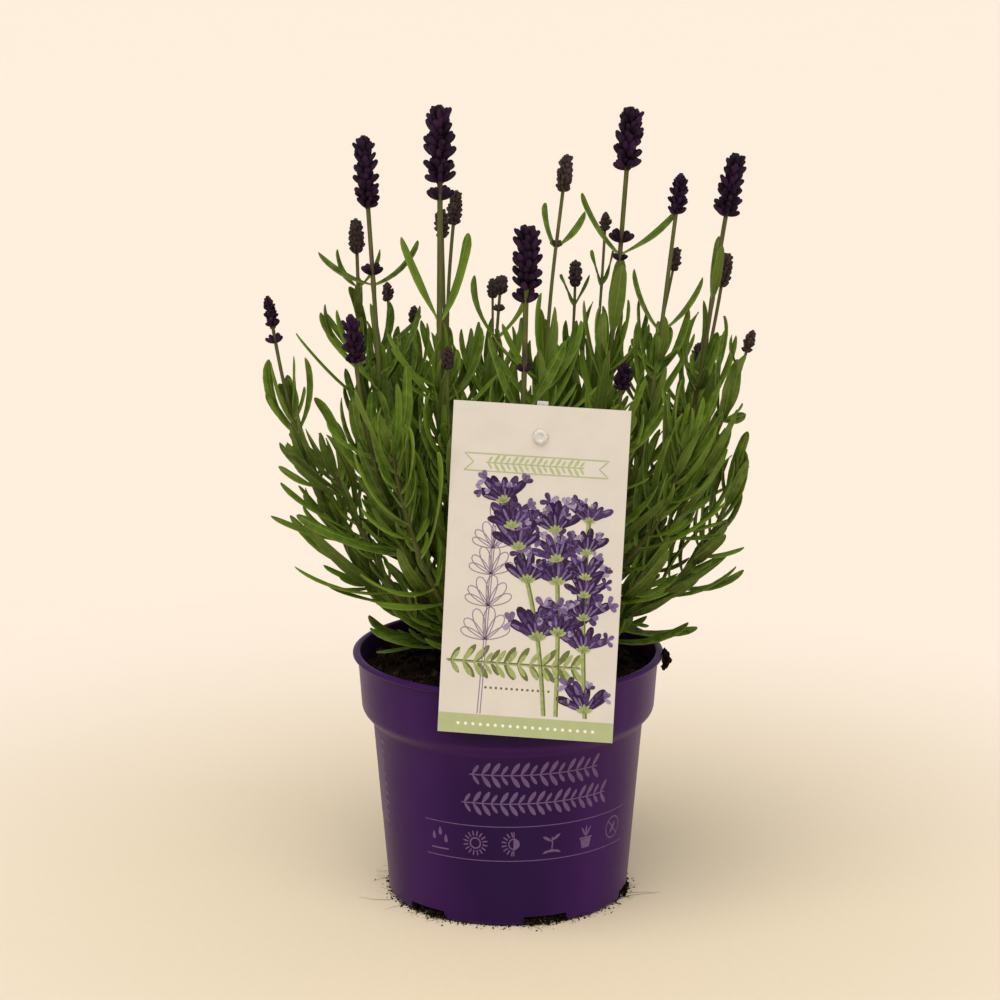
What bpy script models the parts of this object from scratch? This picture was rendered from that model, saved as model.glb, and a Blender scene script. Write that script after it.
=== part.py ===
"""A lavender plant in a two-step nursery pot, with a card label on a clear stake.

Blender 4.5, metres, +Z up. The origin is the centre of the pot's flat underside, and the label
faces -Y. The plant is one root crown that carries flowering shoots, each with its flower spike, and
leafy shoots without one. Every shoot is a square stem, as on all plants of the mint family, with
crossed pairs of leaves. A leaf that would run into another shoot is turned, shortened or left out.
"""

import math
import random
from collections import namedtuple

import bmesh
import bpy
import numpy as np
from mathutils import Matrix, Quaternion, Vector
from mathutils.bvhtree import BVHTree

MM = 0.001
GAP = 0.3 * MM  # free space between pieces that touch

# Pot
RIM_RADIUS = 60 * MM
POT_HEIGHT = 97 * MM
POT_WALL = 1.0 * MM
COLLAR_TOP_RADIUS = 58 * MM
COLLAR_FOOT_RADIUS = 56.6 * MM
COLLAR_FOOT_HEIGHT = 75 * MM
BODY_TOP_RADIUS = 52.2 * MM
BODY_TOP_HEIGHT = 69.5 * MM
BASE_RADIUS = 46.4 * MM
BASE_ROUNDING = 2.0 * MM
LIP_HEIGHT = 2.4 * MM
DRAIN_COUNT = 6
DRAIN_FIRST_ANGLE = math.radians(18)  # from the front, towards +X
DRAIN_WIDTH = 17 * MM
DRAIN_HEIGHT = 3.8 * MM
DRAIN_DEPTH = 7 * MM
TURNED_SIDES = 40

# Soil and root crown
SOIL_EDGE_HEIGHT = 87 * MM
SOIL_MIDDLE_HEIGHT = 89.5 * MM
CROWN_CENTRE = Vector((0, 0, 84 * MM))
CROWN_RADIUS = 17 * MM
CROWN_SIDES = 18
ROOT_TOP_RADIUS = 10 * MM
ROOT_TIP_RADIUS = 4 * MM
ROOT_TIP_HEIGHT = 52 * MM

# Label and its stake
CARD_WIDTH = 65 * MM
CARD_HEIGHT = 124 * MM
CARD_THICKNESS = 0.4 * MM
CARD_LEAN = math.radians(4.8)  # the top stands further back than the foot
CARD_YAW = math.radians(5.2)  # the right side stands nearer the front
CARD_ROLL = math.radians(2.5)  # the top leans to the right
CARD_HOLE_RADIUS = 2.1 * MM
CARD_HOLE_DROP = 11.5 * MM  # from the top edge
CARD_HOLE_PLACE = (11.8 * MM, 193 * MM)  # x and z
STAKE_WIDTH = 4.2 * MM
STAKE_THICKNESS = 1.6 * MM
STAKE_FOOT = Vector((4.5 * MM, -41.5 * MM, 38 * MM))
STAKE_ABOVE_CARD = 1.3 * MM
STAKE_PIN_RADIUS = 1.6 * MM
STAKE_HEAD_RADIUS = 2.7 * MM
STAKE_HEAD_HEIGHT = 1.6 * MM
PIN_SIDES = 16

# Shoots
STEM_FOOT_EXTRA = 0.35 * MM  # how much thicker a stem's half-width is at its foot
FIRST_LEAF_AT = 15 * MM  # along the stem
NODE_BAND = 1.6 * MM  # height of stem that a pair of leaves grows from
LEAF_THICKNESS = 0.8 * MM
SPIKE_SIDES = 6
LEAF_CLEARANCE = 0.25 * MM
STEM_CLEARANCE = 0.2 * MM
LONGEST_STRETCH = 30 * MM  # of stem between two of its rings
FOLIAGE_HALF_WIDTH = 92 * MM
FOLIAGE_HALF_DEPTH = 84 * MM
FOLIAGE_HEIGHT = 292 * MM
LOWEST_START = 0.46  # the upward part of the lowest direction in which a shoot leaves the crown
NEAREST_STEMS = math.radians(20)  # between two shoots' directions where they leave the crown
SEED = 11

Flower = namedtuple("Flower", "x y z lean_x lean_y length radius whorls stem leafy_to pairs drops")
Leafy = namedtuple("Leafy", "x y z lean_x lean_y stem pairs out")

# One row for each flowering shoot, in mm. x, y and z are where the spike starts, lean_x and lean_y how
# far the stem leans there for each unit of height, length and radius the spike's own, stem the stem's
# half-width, and leafy_to the height that its ordinary leaves reach up to. pairs are single pairs of
# leaves on the bare flower stem: (drop below the spike, leaf length, leaf width, turn from the front in
# degrees, opening angle in degrees). drops are the heights below the spike of separate lower whorls.
FLOWERS = (
    Flower(-88.6, -5, 224, -0.16, 0.0, 12, 3.2, 3, 0.75, 184, (), (4,)),
    Flower(-57.5, 15, 249, -0.03, 0.05, 13, 3.1, 3, 0.75, 205, ((13, 17, 3, 0, 32), (24, 16, 2.6, 80, 35)), ()),
    Flower(-52.6, 0, 269.7, -0.06, 0.0, 26, 5.2, 6, 0.95, 200, ((30, 24, 3.4, 5, 42),), (26,)),
    Flower(-56.5, -30, 215.9, -0.10, -0.05, 18, 4.6, 4, 0.85, 176, (), ()),
    Flower(-25.4, -10, 280.4, 0.0, 0.0, 28, 6.2, 6, 1.15, 196, ((52, 34, 4.6, 15, 22),), (4.6,)),
    Flower(-21, 30, 257.5, 0.10, 0.05, 13, 3.0, 3, 0.75, 190, (), ()),
    Flower(-25.5, 44, 250, -0.03, 0.1, 11, 3.0, 3, 0.7, 186, (), ()),
    Flower(6.4, -41, 243.5, 0.02, -0.08, 25, 6.0, 6, 1.15, 178, ((46, 32, 4.4, 20, 25),), (2.6, 29)),
    Flower(20.5, 0, 275.3, 0.12, 0.0, 13.5, 3.2, 3, 0.75, 200, ((21.5, 17, 3.4, 0, 30),), (21,)),
    Flower(44.5, 5, 283.3, 0.07, 0, 22.5, 6, 5, 1, 200, ((33, 27, 3.2, 0, 40), (62, 28, 5, 78, 18)), (28, 35)),
    Flower(37.5, 40, 253.5, 0.05, 0.05, 7, 2.4, 2, 0.6, 190, ((21, 14, 1.7, 0, 20),), ()),
    Flower(25.9, 33, 232.8, 0.02, 0.05, 10, 2.8, 2, 0.6, 182, ((7, 13, 1.7, 0, 24),), ()),
    Flower(62.9, 0, 266.6, 0.12, 0.0, 15, 4.0, 4, 0.85, 205, ((45, 26, 3.4, 10, 28),), ()),
    Flower(64, 40, 237.8, 0.2, 0.1, 9, 2.5, 2, 0.6, 186, (), ()),
    Flower(82.3, 10, 264.3, 0.16, 0.0, 23.5, 5.4, 6, 0.95, 198, ((32, 24, 3.6, 60, 22),), ()),
    Flower(83, 42, 231, 0.16, 0.1, 13, 3.4, 3, 0.75, 188, ((2, 17, 4.5, 75, 12),), ()),
    Flower(89.6, -8, 215.3, 0.3, 0.0, 8.5, 2.4, 2, 0.6, 188, ((7, 14, 1.9, 0, 38),), ()),
    Flower(41.9, -33, 206.3, 0.12, -0.1, 10.5, 3.8, 3, 0.8, 178, (), ()),
    Flower(-22.5, -31, 213.6, 0.0, -0.1, 8.5, 2.7, 2, 0.6, 176, (), ()),
    Flower(-3.2, 20, 231.5, 0.08, 0.05, 7.5, 3.0, 2, 0.65, 190, ((16, 26, 3.6, 40, 28),), (4,)),
    Flower(73.5, 33, 203, 0.2, 0.1, 7.5, 2.7, 2, 0.6, 180, (), ()),
    Flower(-46.8, 45, 225, -0.05, 0.1, 7, 2.6, 2, 0.6, 186, (), ()),
    Flower(-36.5, 20, 221, 0.1, 0.05, 6.5, 2.2, 2, 0.55, 188, (), ()),
    Flower(-6, 56, 224, 0.0, 0.15, 7.5, 2.4, 2, 0.55, 186, (), ()),
)
# One row for each leafy shoot, in mm, to its growing tip. pairs is its number of leaf pairs, and out how
# low it leaves the crown, from 0 for a shoot that climbs to 1 for one that sets out level.
LEAFY = (
    Leafy(-66, -8, 168, -0.45, 0.0, 0.95, 7, 0.9),
    Leafy(-43, -38, 184, -0.12, -0.15, 0.95, 7, 0.6),
    Leafy(84, -6, 158, 0.35, -0.05, 0.9, 7, 1.0),
    Leafy(66, -24, 182, 0.15, -0.1, 0.9, 7, 0.7),
    Leafy(34, 70, 172, 0.1, 0.35, 0.9, 7, 0.8),
    Leafy(-42, 68, 170, -0.15, 0.35, 0.9, 7, 0.8),
    Leafy(14, 24, 196, 0.05, 0.05, 0.9, 7, 0.1),
)


# ---------------------------------------------------------------- curves and frames


def bezier(p0, p1, p2, p3, t):
    s = 1 - t
    return p0 * s**3 + p1 * (3 * s * s * t) + p2 * (3 * s * t * t) + p3 * t**3


class Stem:
    """A stem's centre line with its length, and frames that turn with it as little as they can."""

    STEPS = 60

    def __init__(self, foot, foot_way, tip, tip_way, twist):
        reach = (tip - foot).length
        p1 = foot + foot_way * reach * 0.36
        p2 = tip - tip_way * reach * 0.42
        self.points = [bezier(foot, p1, p2, tip, i / self.STEPS) for i in range(self.STEPS + 1)]
        self.at = [0.0]
        for a, b in zip(self.points, self.points[1:]):
            self.at.append(self.at[-1] + (b - a).length)
        self.length = self.at[-1]
        self.ways = []
        for i in range(self.STEPS + 1):
            before, after = max(i - 1, 0), min(i + 1, self.STEPS)
            self.ways.append((self.points[after] - self.points[before]).normalized())
        side = Vector((math.cos(twist), math.sin(twist), 0))
        self.sides = []
        for way in reversed(self.ways):
            side = (side - way * side.dot(way)).normalized()
            self.sides.append(side)
        self.sides.reverse()

    def frame(self, distance):
        """(point, way, first side, second side) at a distance from the foot."""
        distance = min(max(distance, 0.0), self.length)
        i = next(k for k in range(1, self.STEPS + 1) if self.at[k] >= distance - 1e-12)
        share = (distance - self.at[i - 1]) / (self.at[i] - self.at[i - 1])
        point = self.points[i - 1].lerp(self.points[i], share)
        way = self.ways[i - 1].lerp(self.ways[i], share).normalized()
        side = self.sides[i - 1].lerp(self.sides[i], share)
        side = (side - way * side.dot(way)).normalized()
        return point, way, side, way.cross(side)

    def distance_at_height(self, height):
        """The distance from the foot at which the stem last rises through this height."""
        below = [i for i, p in enumerate(self.points) if p.z <= height]
        return self.at[max(below)] if below else 0.0


class Leaf:
    """A leaf's centre line and frame, from where it leaves the stem. Its upper side faces the stem."""

    def __init__(self, foot, way, out, length, width, opening, curl, drift, roll):
        self.foot, self.way, self.out = foot, way, out
        self.right = way.cross(out)
        self.length, self.width = length, width
        self.opening, self.curl, self.drift, self.roll = opening, curl, drift, roll

    def frame(self, share):
        """(point, right, up) at a share of the leaf's length."""
        steps = 8
        point = self.foot.copy()
        for i in range(steps):
            angle = self.opening + self.curl * share * (i + 0.5) / steps
            heading = self.way * math.cos(angle) + self.out * math.sin(angle)
            point += heading * (self.length * share / steps)
        angle = self.opening + self.curl * share
        heading = self.way * math.cos(angle) + self.out * math.sin(angle)
        up = self.way * math.sin(angle) - self.out * math.cos(angle)
        point += self.right * (self.drift * self.length * share * share)
        turn = Quaternion(heading, self.roll * share)
        return point, turn @ self.right, turn @ up


def leaf_width_at(share):
    """A leaf's width along its length, as a share of its full width: narrow at its foot, blunt at its tip."""
    return math.sin(math.pi * (0.12 + 0.8 * share)) ** 0.7


# ---------------------------------------------------------------- what stands in a leaf's way


class Crowd:
    """The surfaces already placed, each with its owner, to test a new leaf against."""

    def __init__(self):
        self.trees, self.owners, self.lows, self.highs = [], [], [], []

    def add(self, owner, points, faces):
        self.trees.append(BVHTree.FromPolygons(points, faces))
        self.owners.append(owner)
        self.lows.append([min(p[k] for p in points) for k in range(3)])
        self.highs.append([max(p[k] for p in points) for k in range(3)])

    def hit(self, owner, points, faces):
        low = np.array([min(p[k] for p in points) for k in range(3)])
        high = np.array([max(p[k] for p in points) for k in range(3)])
        lows, highs = np.array(self.lows), np.array(self.highs)
        near = np.nonzero(((lows <= high) & (highs >= low)).all(axis=1))[0]
        tree = BVHTree.FromPolygons(points, faces)
        return any(self.owners[i] != owner and tree.overlap(self.trees[i]) for i in near)


def ring_skin(rings):
    """Points and faces of a closed skin through rings of equal count."""
    count = len(rings[0])
    points = [p for ring in rings for p in ring]
    faces = []
    for i in range(len(rings) - 1):
        for j in range(count):
            k = (j + 1) % count
            faces.append((i * count + j, i * count + k, (i + 1) * count + k, (i + 1) * count + j))
    faces.append(tuple(reversed(range(count))))
    faces.append(tuple(range(len(points) - count, len(points))))
    return points, faces


def leaf_corners(leaf, share, grow=0.0):
    point, right, up = leaf.frame(share)
    half_width = leaf.width * leaf_width_at(share) / 2 + grow
    half_depth = LEAF_THICKNESS * (0.5 if share < 0.9 else 0.3) + grow
    return [
        point - right * half_width - up * half_depth,
        point + right * half_width - up * half_depth,
        point + right * half_width + up * half_depth,
        point - right * half_width + up * half_depth,
    ]


LEAF_STATIONS = (0.5, 1.0)


def leaf_skin(leaf):
    return ring_skin([leaf_corners(leaf, t, LEAF_CLEARANCE) for t in (0.06, *LEAF_STATIONS)])


def stem_skin(stem, half_width, rings=14):
    half_width += STEM_CLEARANCE
    return ring_skin([stem_corners(stem, stem.length * i / rings, half_width) for i in range(rings + 1)])


def stem_corners(stem, distance, half_width):
    point, _, side, other = stem.frame(distance)
    return [
        point + (side - other) * half_width,
        point + (side + other) * half_width,
        point + (other - side) * half_width,
        point - (side + other) * half_width,
    ]


def box_skin(centre, axes, halves):
    rings = []
    for z in (-1, 1):
        rings.append(
            [
                centre + axes[0] * (x * halves[0]) + axes[1] * (y * halves[1]) + axes[2] * (z * halves[2])
                for x, y in ((-1, -1), (1, -1), (1, 1), (-1, 1))
            ]
        )
    return ring_skin(rings)


def turned_skin(profile):
    """A skin of revolution round the pot's axis through (radius, height) in mm."""
    return ring_skin([
        [Vector((radius * math.cos(k * math.tau / 32), radius * math.sin(k * math.tau / 32), height)) * MM
         for k in range(32)]
        for radius, height in profile
    ])


# ---------------------------------------------------------------- the label's place


def card_axes():
    """The card's right, up and outward (towards the front) directions."""
    right = Vector((math.cos(CARD_YAW), -math.sin(CARD_YAW), 0))
    front = Vector((-math.sin(CARD_YAW), -math.cos(CARD_YAW), 0))
    up = Vector((0, 0, 1))
    front, up = (
        front * math.cos(CARD_LEAN) + up * math.sin(CARD_LEAN),
        up * math.cos(CARD_LEAN) - front * math.sin(CARD_LEAN),
    )
    turn = Quaternion(front, -CARD_ROLL)
    return turn @ right, turn @ up, front


def card_hole_centre():
    """The hole's centre, with the card's back just clear of the pot's lip."""
    _, _, front = card_axes()
    x, z = CARD_HOLE_PLACE
    lip = RIM_RADIUS * math.hypot(front.x, front.y) + POT_HEIGHT * front.z
    wanted = lip + GAP + CARD_THICKNESS / 2
    return Vector((x, (wanted - front.x * x - front.z * z) / front.y, z))


def card_middle():
    _, up, _ = card_axes()
    return card_hole_centre() + up * (CARD_HOLE_DROP - CARD_HEIGHT / 2)


def stake_line():
    """(foot, top, axes) of the stake, whose top stands just behind the card's top edge."""
    right, up, front = card_axes()
    top = card_hole_centre() + up * (CARD_HOLE_DROP + STAKE_ABOVE_CARD)
    top -= front * (CARD_THICKNESS / 2 + GAP + STAKE_THICKNESS / 2)
    along = (top - STAKE_FOOT).normalized()
    right = (right - along * right.dot(along)).normalized()
    return STAKE_FOOT, top, (right, along.cross(right), along)


# ---------------------------------------------------------------- laying out the shoots


def crown_ways():
    """Where each shoot leaves the crown: lower the further out it ends, and pushed apart from the rest."""
    ways = []
    for row in (*FLOWERS, *LEAFY):
        spread = math.hypot(row.x, row.y) * MM / FOLIAGE_HALF_WIDTH
        low = 12 + 60 * min(spread, 1)
        if isinstance(row, Leafy):
            low = max(low, 78 * row.out)
        polar, around = math.radians(low), math.atan2(row.y, row.x)
        level = math.sin(polar)
        ways.append(Vector((level * math.cos(around), level * math.sin(around), math.cos(polar))))
    for _ in range(200):
        for i in range(len(ways)):
            for j in range(i):
                apart = ways[i].angle(ways[j])
                if apart < NEAREST_STEMS:
                    push = (ways[i] - ways[j]).normalized() * (NEAREST_STEMS - apart) / 4
                    ways[i] = (ways[i] + push).normalized()
                    ways[j] = (ways[j] - push).normalized()
        for i, way in enumerate(ways):
            if way.z < LOWEST_START:
                level = Vector((way.x, way.y)).normalized() * math.sqrt(1 - LOWEST_START**2)
                ways[i] = Vector((level.x, level.y, LOWEST_START))
    return ways


def lowest_whorl(row):
    """How far below the spike itself its lowest separate whorl stands, in mm."""
    return max(row.drops, default=0)


def route(row, foot_way, twist):
    """A shoot's stem, which sets out as low as the soil and the pot's rim let it."""
    tip_way = Vector((row.lean_x, row.lean_y, 1)).normalized()
    top = Vector((row.x, row.y, row.z)) * MM
    if isinstance(row, Flower):
        top -= tip_way * (lowest_whorl(row) * MM + GAP)
    foot = CROWN_CENTRE + foot_way * (CROWN_RADIUS + 0.35 * MM)
    thickness = row.stem * MM + STEM_FOOT_EXTRA + 0.5 * MM
    for rise in range(12):
        start = (foot_way + Vector((0, 0, 0.1 + 0.15 * rise))).normalized()
        stem = Stem(foot, start, top, tip_way, twist)
        if all(clears_pot(point, thickness) for point in stem.points[3:]):
            break
    return stem


def clears_pot(point, thickness):
    around = math.hypot(point.x, point.y)
    if around < COLLAR_FOOT_RADIUS - 3 * MM - thickness:
        return point.z > SOIL_MIDDLE_HEIGHT + 1 * MM + thickness
    return around > RIM_RADIUS + thickness or point.z > POT_HEIGHT + 1 * MM + thickness


def plan_shoots():
    """[(name, row, stem, leaves)] of all shoots, with leaves as (distance along the stem, side, Leaf)."""
    draw = random.Random(SEED)
    crowd = Crowd()
    shoots = []
    for number, (row, foot_way) in enumerate(zip((*FLOWERS, *LEAFY), crown_ways())):
        flowering = isinstance(row, Flower)
        if flowering:
            name = f"flowering_shoot_{number + 1:02d}"
        else:
            name = f"leafy_shoot_{number + 1 - len(FLOWERS):02d}"
        stem = route(row, foot_way, 0.0 if flowering else draw.uniform(0, math.pi / 2))
        shoots.append((name, row, stem, []))
        crowd.add(name, *stem_skin(stem, row.stem * MM))
        if flowering:
            spike = spike_stem(row)
            rings = [stem_corners(spike, spike.length * i / 6, row.radius * 0.9 * MM) for i in range(7)]
            crowd.add(name + "_spike", *ring_skin(rings))
    right, up, front = card_axes()
    crowd.add("label", *box_skin(card_middle(), (right, up, front), (34 * MM, 63.5 * MM, 1.2 * MM)))
    foot, top, axes = stake_line()
    halves = (STAKE_WIDTH / 2 + 0.6 * MM, STAKE_THICKNESS / 2 + 0.6 * MM, (top - foot).length / 2)
    crowd.add("stake", *box_skin((foot + top) / 2, axes, halves))
    crowd.add("pot", *turned_skin(((61, 60), (61, 98), (54.5, 98), (54.5, 60))))
    crowd.add("soil", *turned_skin(((54, 60), (54, 89), (24, 91), (2, 91))))
    for name, row, stem, leaves in shoots:
        for wish in leaf_wishes(row, stem, draw):
            leaf = first_clear(name, crowd, *wish)
            if leaf:
                crowd.add(name, *leaf_skin(leaf[2]))
                leaves.append(leaf)
    return shoots


def spike_stem(row):
    """The centre line of a flower spike, from its lowest whorl to its tip."""
    way = Vector((row.lean_x, row.lean_y, 1)).normalized()
    start = Vector((row.x, row.y, row.z)) * MM - way * (lowest_whorl(row) * MM)
    end = Vector((row.x, row.y, row.z)) * MM + way * row.length * MM
    return Stem(start, way, end, way, 0.0)


def leaf_wishes(row, stem, draw):
    """Every leaf a shoot would like to have: (stem, distance, side, length, width, opening in degrees)."""
    wishes = []
    if isinstance(row, Flower):
        last = stem.distance_at_height(row.leafy_to * MM)
        pairs = 5
    else:
        last = stem.length - 4 * MM
        pairs = row.pairs
    for n in range(pairs):
        share = n / (pairs - 1)
        distance = FIRST_LEAF_AT + (last - FIRST_LEAF_AT) * share ** 0.9
        length = (34 + 14 * math.sin(math.pi * min(share + 0.15, 1))) * draw.uniform(0.85, 1.1)
        width = (5.2 - 1.3 * share) * draw.uniform(0.85, 1.1)
        opening = 54 - 30 * share + draw.uniform(-8, 8)
        for half in (0, 2):
            wishes.append((stem, row, distance, n % 2 + half, length, width, opening + draw.uniform(-7, 7),
                           draw.uniform(-34, 10), draw.uniform(-0.12, 0.12), draw.uniform(-0.5, 0.5)))
    if isinstance(row, Flower):
        lowest = lowest_whorl(row)
        for drop, length, width, turn, opening in row.pairs:
            distance = stem.length - max(drop - lowest, 1.2) * MM
            side = 0 if turn < 45 else 1
            for half in (0, 2):
                wishes.append((stem, row, distance, side + half, length, width, opening,
                               draw.uniform(-14, 4), draw.uniform(-0.05, 0.05), draw.uniform(-0.3, 0.3)))
    return wishes


def first_clear(name, crowd, stem, row, distance, side, length, width, opening, curl, drift, roll):
    """The leaf as wished, or turned or shortened until nothing is in its way, or None."""
    point, way, first, second = stem.frame(distance)
    out = (first, second, -first, -second)[side]
    foot = point + out * (row.stem * MM)
    for turn, size in ((0, 1), (-12, 1), (12, 1), (-22, 0.9), (22, 0.85), (0, 0.7), (-15, 0.6), (15, 0.55)):
        angle = min(max(opening + turn, 12), 88)
        leaf = Leaf(foot, way, out, length * size * MM, width * (0.5 + 0.5 * size) * MM,
                    math.radians(angle), math.radians(curl), drift, roll)
        if in_outline(leaf) and not crowd.hit(name, *leaf_skin(leaf)):
            return distance, side, leaf
    return None


def in_outline(leaf):
    """Whether a leaf's tip stays in the plant's outline: a tub that is widest at half its height."""
    tip = leaf.frame(1.0)[0]
    return math.hypot(tip.x / FOLIAGE_HALF_WIDTH, tip.y / FOLIAGE_HALF_DEPTH) < 1 and tip.z < FOLIAGE_HEIGHT


# ---------------------------------------------------------------- meshes and materials


def material(name, colour, roughness, metallic=0.0, alpha=1.0):
    made = bpy.data.materials.get(name) or bpy.data.materials.new(name)
    made.use_nodes = True
    shader = made.node_tree.nodes["Principled BSDF"]
    shader.inputs["Base Color"].default_value = (*colour, 1)
    shader.inputs["Roughness"].default_value = roughness
    shader.inputs["Metallic"].default_value = metallic
    shader.inputs["Alpha"].default_value = alpha
    return made


PLASTIC = ("violet_plastic", (0.075, 0.035, 0.13), 0.45)
PEAT = ("peat", (0.02, 0.013, 0.009), 0.95)
BARK = ("bark", (0.12, 0.085, 0.045), 0.8)
GREEN = ("leaf_green", (0.06, 0.11, 0.02), 0.6)
PURPLE = ("flower_violet", (0.035, 0.015, 0.06), 0.7)
BUD = ("bud_grey_violet", (0.09, 0.06, 0.06), 0.7)
CARD = ("card", (0.75, 0.68, 0.6), 0.6)
CLEAR = ("clear_plastic", (0.8, 0.82, 0.78), 0.15)


def add_object(name, bm, look, smooth=None):
    mesh = bpy.data.meshes.new(name)
    bmesh.ops.recalc_face_normals(bm, faces=bm.faces)
    bm.to_mesh(mesh)
    bm.free()
    if smooth is not None:
        mesh.shade_smooth()
        mesh.set_sharp_from_angle(angle=math.radians(smooth))
    mesh.materials.append(material(*look))
    made = bpy.data.objects.new(name, mesh)
    bpy.context.scene.collection.objects.link(made)
    return made


def turned(profile, sides, start=0.0):
    """A solid of revolution: profile is (radius, height) from the axis at the foot round to the axis at
    the top, and only its two ends lie on the axis."""
    bm = bmesh.new()
    rings = []
    for radius, height in profile[1:-1]:
        rings.append([
            bm.verts.new((radius * math.cos(start + k * math.tau / sides),
                          radius * math.sin(start + k * math.tau / sides), height))
            for k in range(sides)
        ])
    foot = bm.verts.new((0, 0, profile[0][1]))
    top = bm.verts.new((0, 0, profile[-1][1]))
    for k in range(sides):
        after = (k + 1) % sides
        bm.faces.new((foot, rings[0][after], rings[0][k]))
        bm.faces.new((top, rings[-1][k], rings[-1][after]))
        for low, high in zip(rings, rings[1:]):
            bm.faces.new((low[k], low[after], high[after], high[k]))
    return bm


def cutter(name, bm):
    made = add_object(name, bm, PLASTIC)
    made.hide_render = True
    made.display_type = "WIRE"
    return made


def cut(target, tool):
    boolean = target.modifiers.new("Cut", "BOOLEAN")
    boolean.operation = "DIFFERENCE"
    boolean.solver = "EXACT"
    boolean.object = tool


def oriented_box(bm, centre, axes, size):
    turn = Matrix((axes[0], axes[1], axes[2])).transposed().to_4x4()
    place = Matrix.Translation(centre) @ turn @ Matrix.Diagonal((*size, 1))
    bmesh.ops.create_cube(bm, size=1, matrix=place)


# ---------------------------------------------------------------- pot, soil and crown


def inner_profile(clearance=0.0):
    """(radius, height) up the inside of the pot's wall, from the floor to the lip."""
    wall = POT_WALL + clearance
    slope = (BODY_TOP_RADIUS - BASE_RADIUS) / BODY_TOP_HEIGHT
    return [
        (BASE_RADIUS - BASE_ROUNDING - wall, wall),
        (BASE_RADIUS + slope * BASE_ROUNDING - wall, BASE_ROUNDING + wall),
        (BODY_TOP_RADIUS - wall, BODY_TOP_HEIGHT + 0.6 * wall),
        (COLLAR_FOOT_RADIUS - wall, COLLAR_FOOT_HEIGHT + 0.3 * wall),
    ]


def build_pot():
    slope = (BODY_TOP_RADIUS - BASE_RADIUS) / BODY_TOP_HEIGHT
    lip_foot = POT_HEIGHT - LIP_HEIGHT
    outer = [
        (BASE_RADIUS - BASE_ROUNDING, 0),
        (BASE_RADIUS - 0.3 * BASE_ROUNDING, 0.3 * BASE_ROUNDING),
        (BASE_RADIUS + slope * BASE_ROUNDING, BASE_ROUNDING),
        (BODY_TOP_RADIUS, BODY_TOP_HEIGHT),
        (COLLAR_FOOT_RADIUS - 1.3 * MM, COLLAR_FOOT_HEIGHT - 3 * MM),
        (COLLAR_FOOT_RADIUS, COLLAR_FOOT_HEIGHT),
        (COLLAR_TOP_RADIUS, lip_foot),
        (RIM_RADIUS, lip_foot + 0.5 * MM),
        (RIM_RADIUS, POT_HEIGHT - 0.7 * MM),
        (RIM_RADIUS - 0.7 * MM, POT_HEIGHT),
        (COLLAR_TOP_RADIUS - POT_WALL + 0.5 * MM, POT_HEIGHT),
    ]
    inner = [(COLLAR_TOP_RADIUS - POT_WALL, lip_foot), *reversed(inner_profile())]
    pot = add_object("pot", turned([(0, 0), *outer, *inner, (0, POT_WALL)], TURNED_SIDES), PLASTIC, 40)
    bm = bmesh.new()
    for n in range(DRAIN_COUNT):
        angle = DRAIN_FIRST_ANGLE + n * math.tau / DRAIN_COUNT
        out = Vector((math.sin(angle), -math.cos(angle), 0))
        up = Vector((0, 0, 1))
        centre = out * (BASE_RADIUS + 2 * MM - DRAIN_DEPTH / 2)
        size = (DRAIN_WIDTH, DRAIN_DEPTH + 4 * MM, 2 * DRAIN_HEIGHT)
        oriented_box(bm, centre, (up.cross(out), out, up), size)
    cut(pot, cutter("drain_cutter", bm))


def crown_profile(clearance):
    """(radius, height) of the crown from its root tip round to its domed top."""
    profile = [
        (0, ROOT_TIP_HEIGHT - clearance),
        (ROOT_TIP_RADIUS + clearance, ROOT_TIP_HEIGHT - clearance),
        (ROOT_TOP_RADIUS + clearance, 74 * MM - clearance),
    ]
    radius = CROWN_RADIUS + clearance
    for n in range(6):
        polar = math.radians(125 - 22 * n)
        profile.append((radius * math.sin(polar), CROWN_CENTRE.z + radius * math.cos(polar)))
    return [*profile, (0, CROWN_CENTRE.z + radius)]


def build_soil():
    wall = inner_profile(GAP)
    edge = COLLAR_FOOT_RADIUS - POT_WALL - GAP
    profile = [
        (0, POT_WALL + GAP),
        *wall,
        (edge + 0.7 * MM, SOIL_EDGE_HEIGHT),
        (edge * 0.72, (SOIL_EDGE_HEIGHT * 0.4 + SOIL_MIDDLE_HEIGHT * 0.6)),
        (edge * 0.4, SOIL_MIDDLE_HEIGHT),
        (0, SOIL_MIDDLE_HEIGHT),
    ]
    soil = add_object("soil", turned(profile, TURNED_SIDES), PEAT, 50)
    cut(soil, cutter("crown_cutter", turned(crown_profile(GAP), CROWN_SIDES)))
    foot, top, axes = stake_line()
    bm = bmesh.new()
    start = foot - axes[2] * 2 * GAP
    size = (STAKE_WIDTH + 2 * GAP, STAKE_THICKNESS + 2 * GAP, (top - start).length)
    oriented_box(bm, (start + top) / 2, axes, size)
    cut(soil, cutter("stake_cutter", bm))


def build_crown():
    add_object("root_crown", turned(crown_profile(0), CROWN_SIDES), BARK, 50)


# ---------------------------------------------------------------- label and stake


def build_card():
    right, up, front = card_axes()
    bm = bmesh.new()
    oriented_box(bm, card_middle(), (right, up, front), (CARD_WIDTH, CARD_HEIGHT, CARD_THICKNESS))
    card = add_object("plant_label", bm, CARD)
    bm = bmesh.new()
    turn = Matrix((right, up, front)).transposed().to_4x4()
    bmesh.ops.create_cone(bm, cap_ends=True, segments=PIN_SIDES, radius1=CARD_HOLE_RADIUS, radius2=CARD_HOLE_RADIUS,
                          depth=4 * MM, matrix=Matrix.Translation(card_hole_centre()) @ turn)
    cut(card, cutter("card_hole_cutter", bm))


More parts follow.
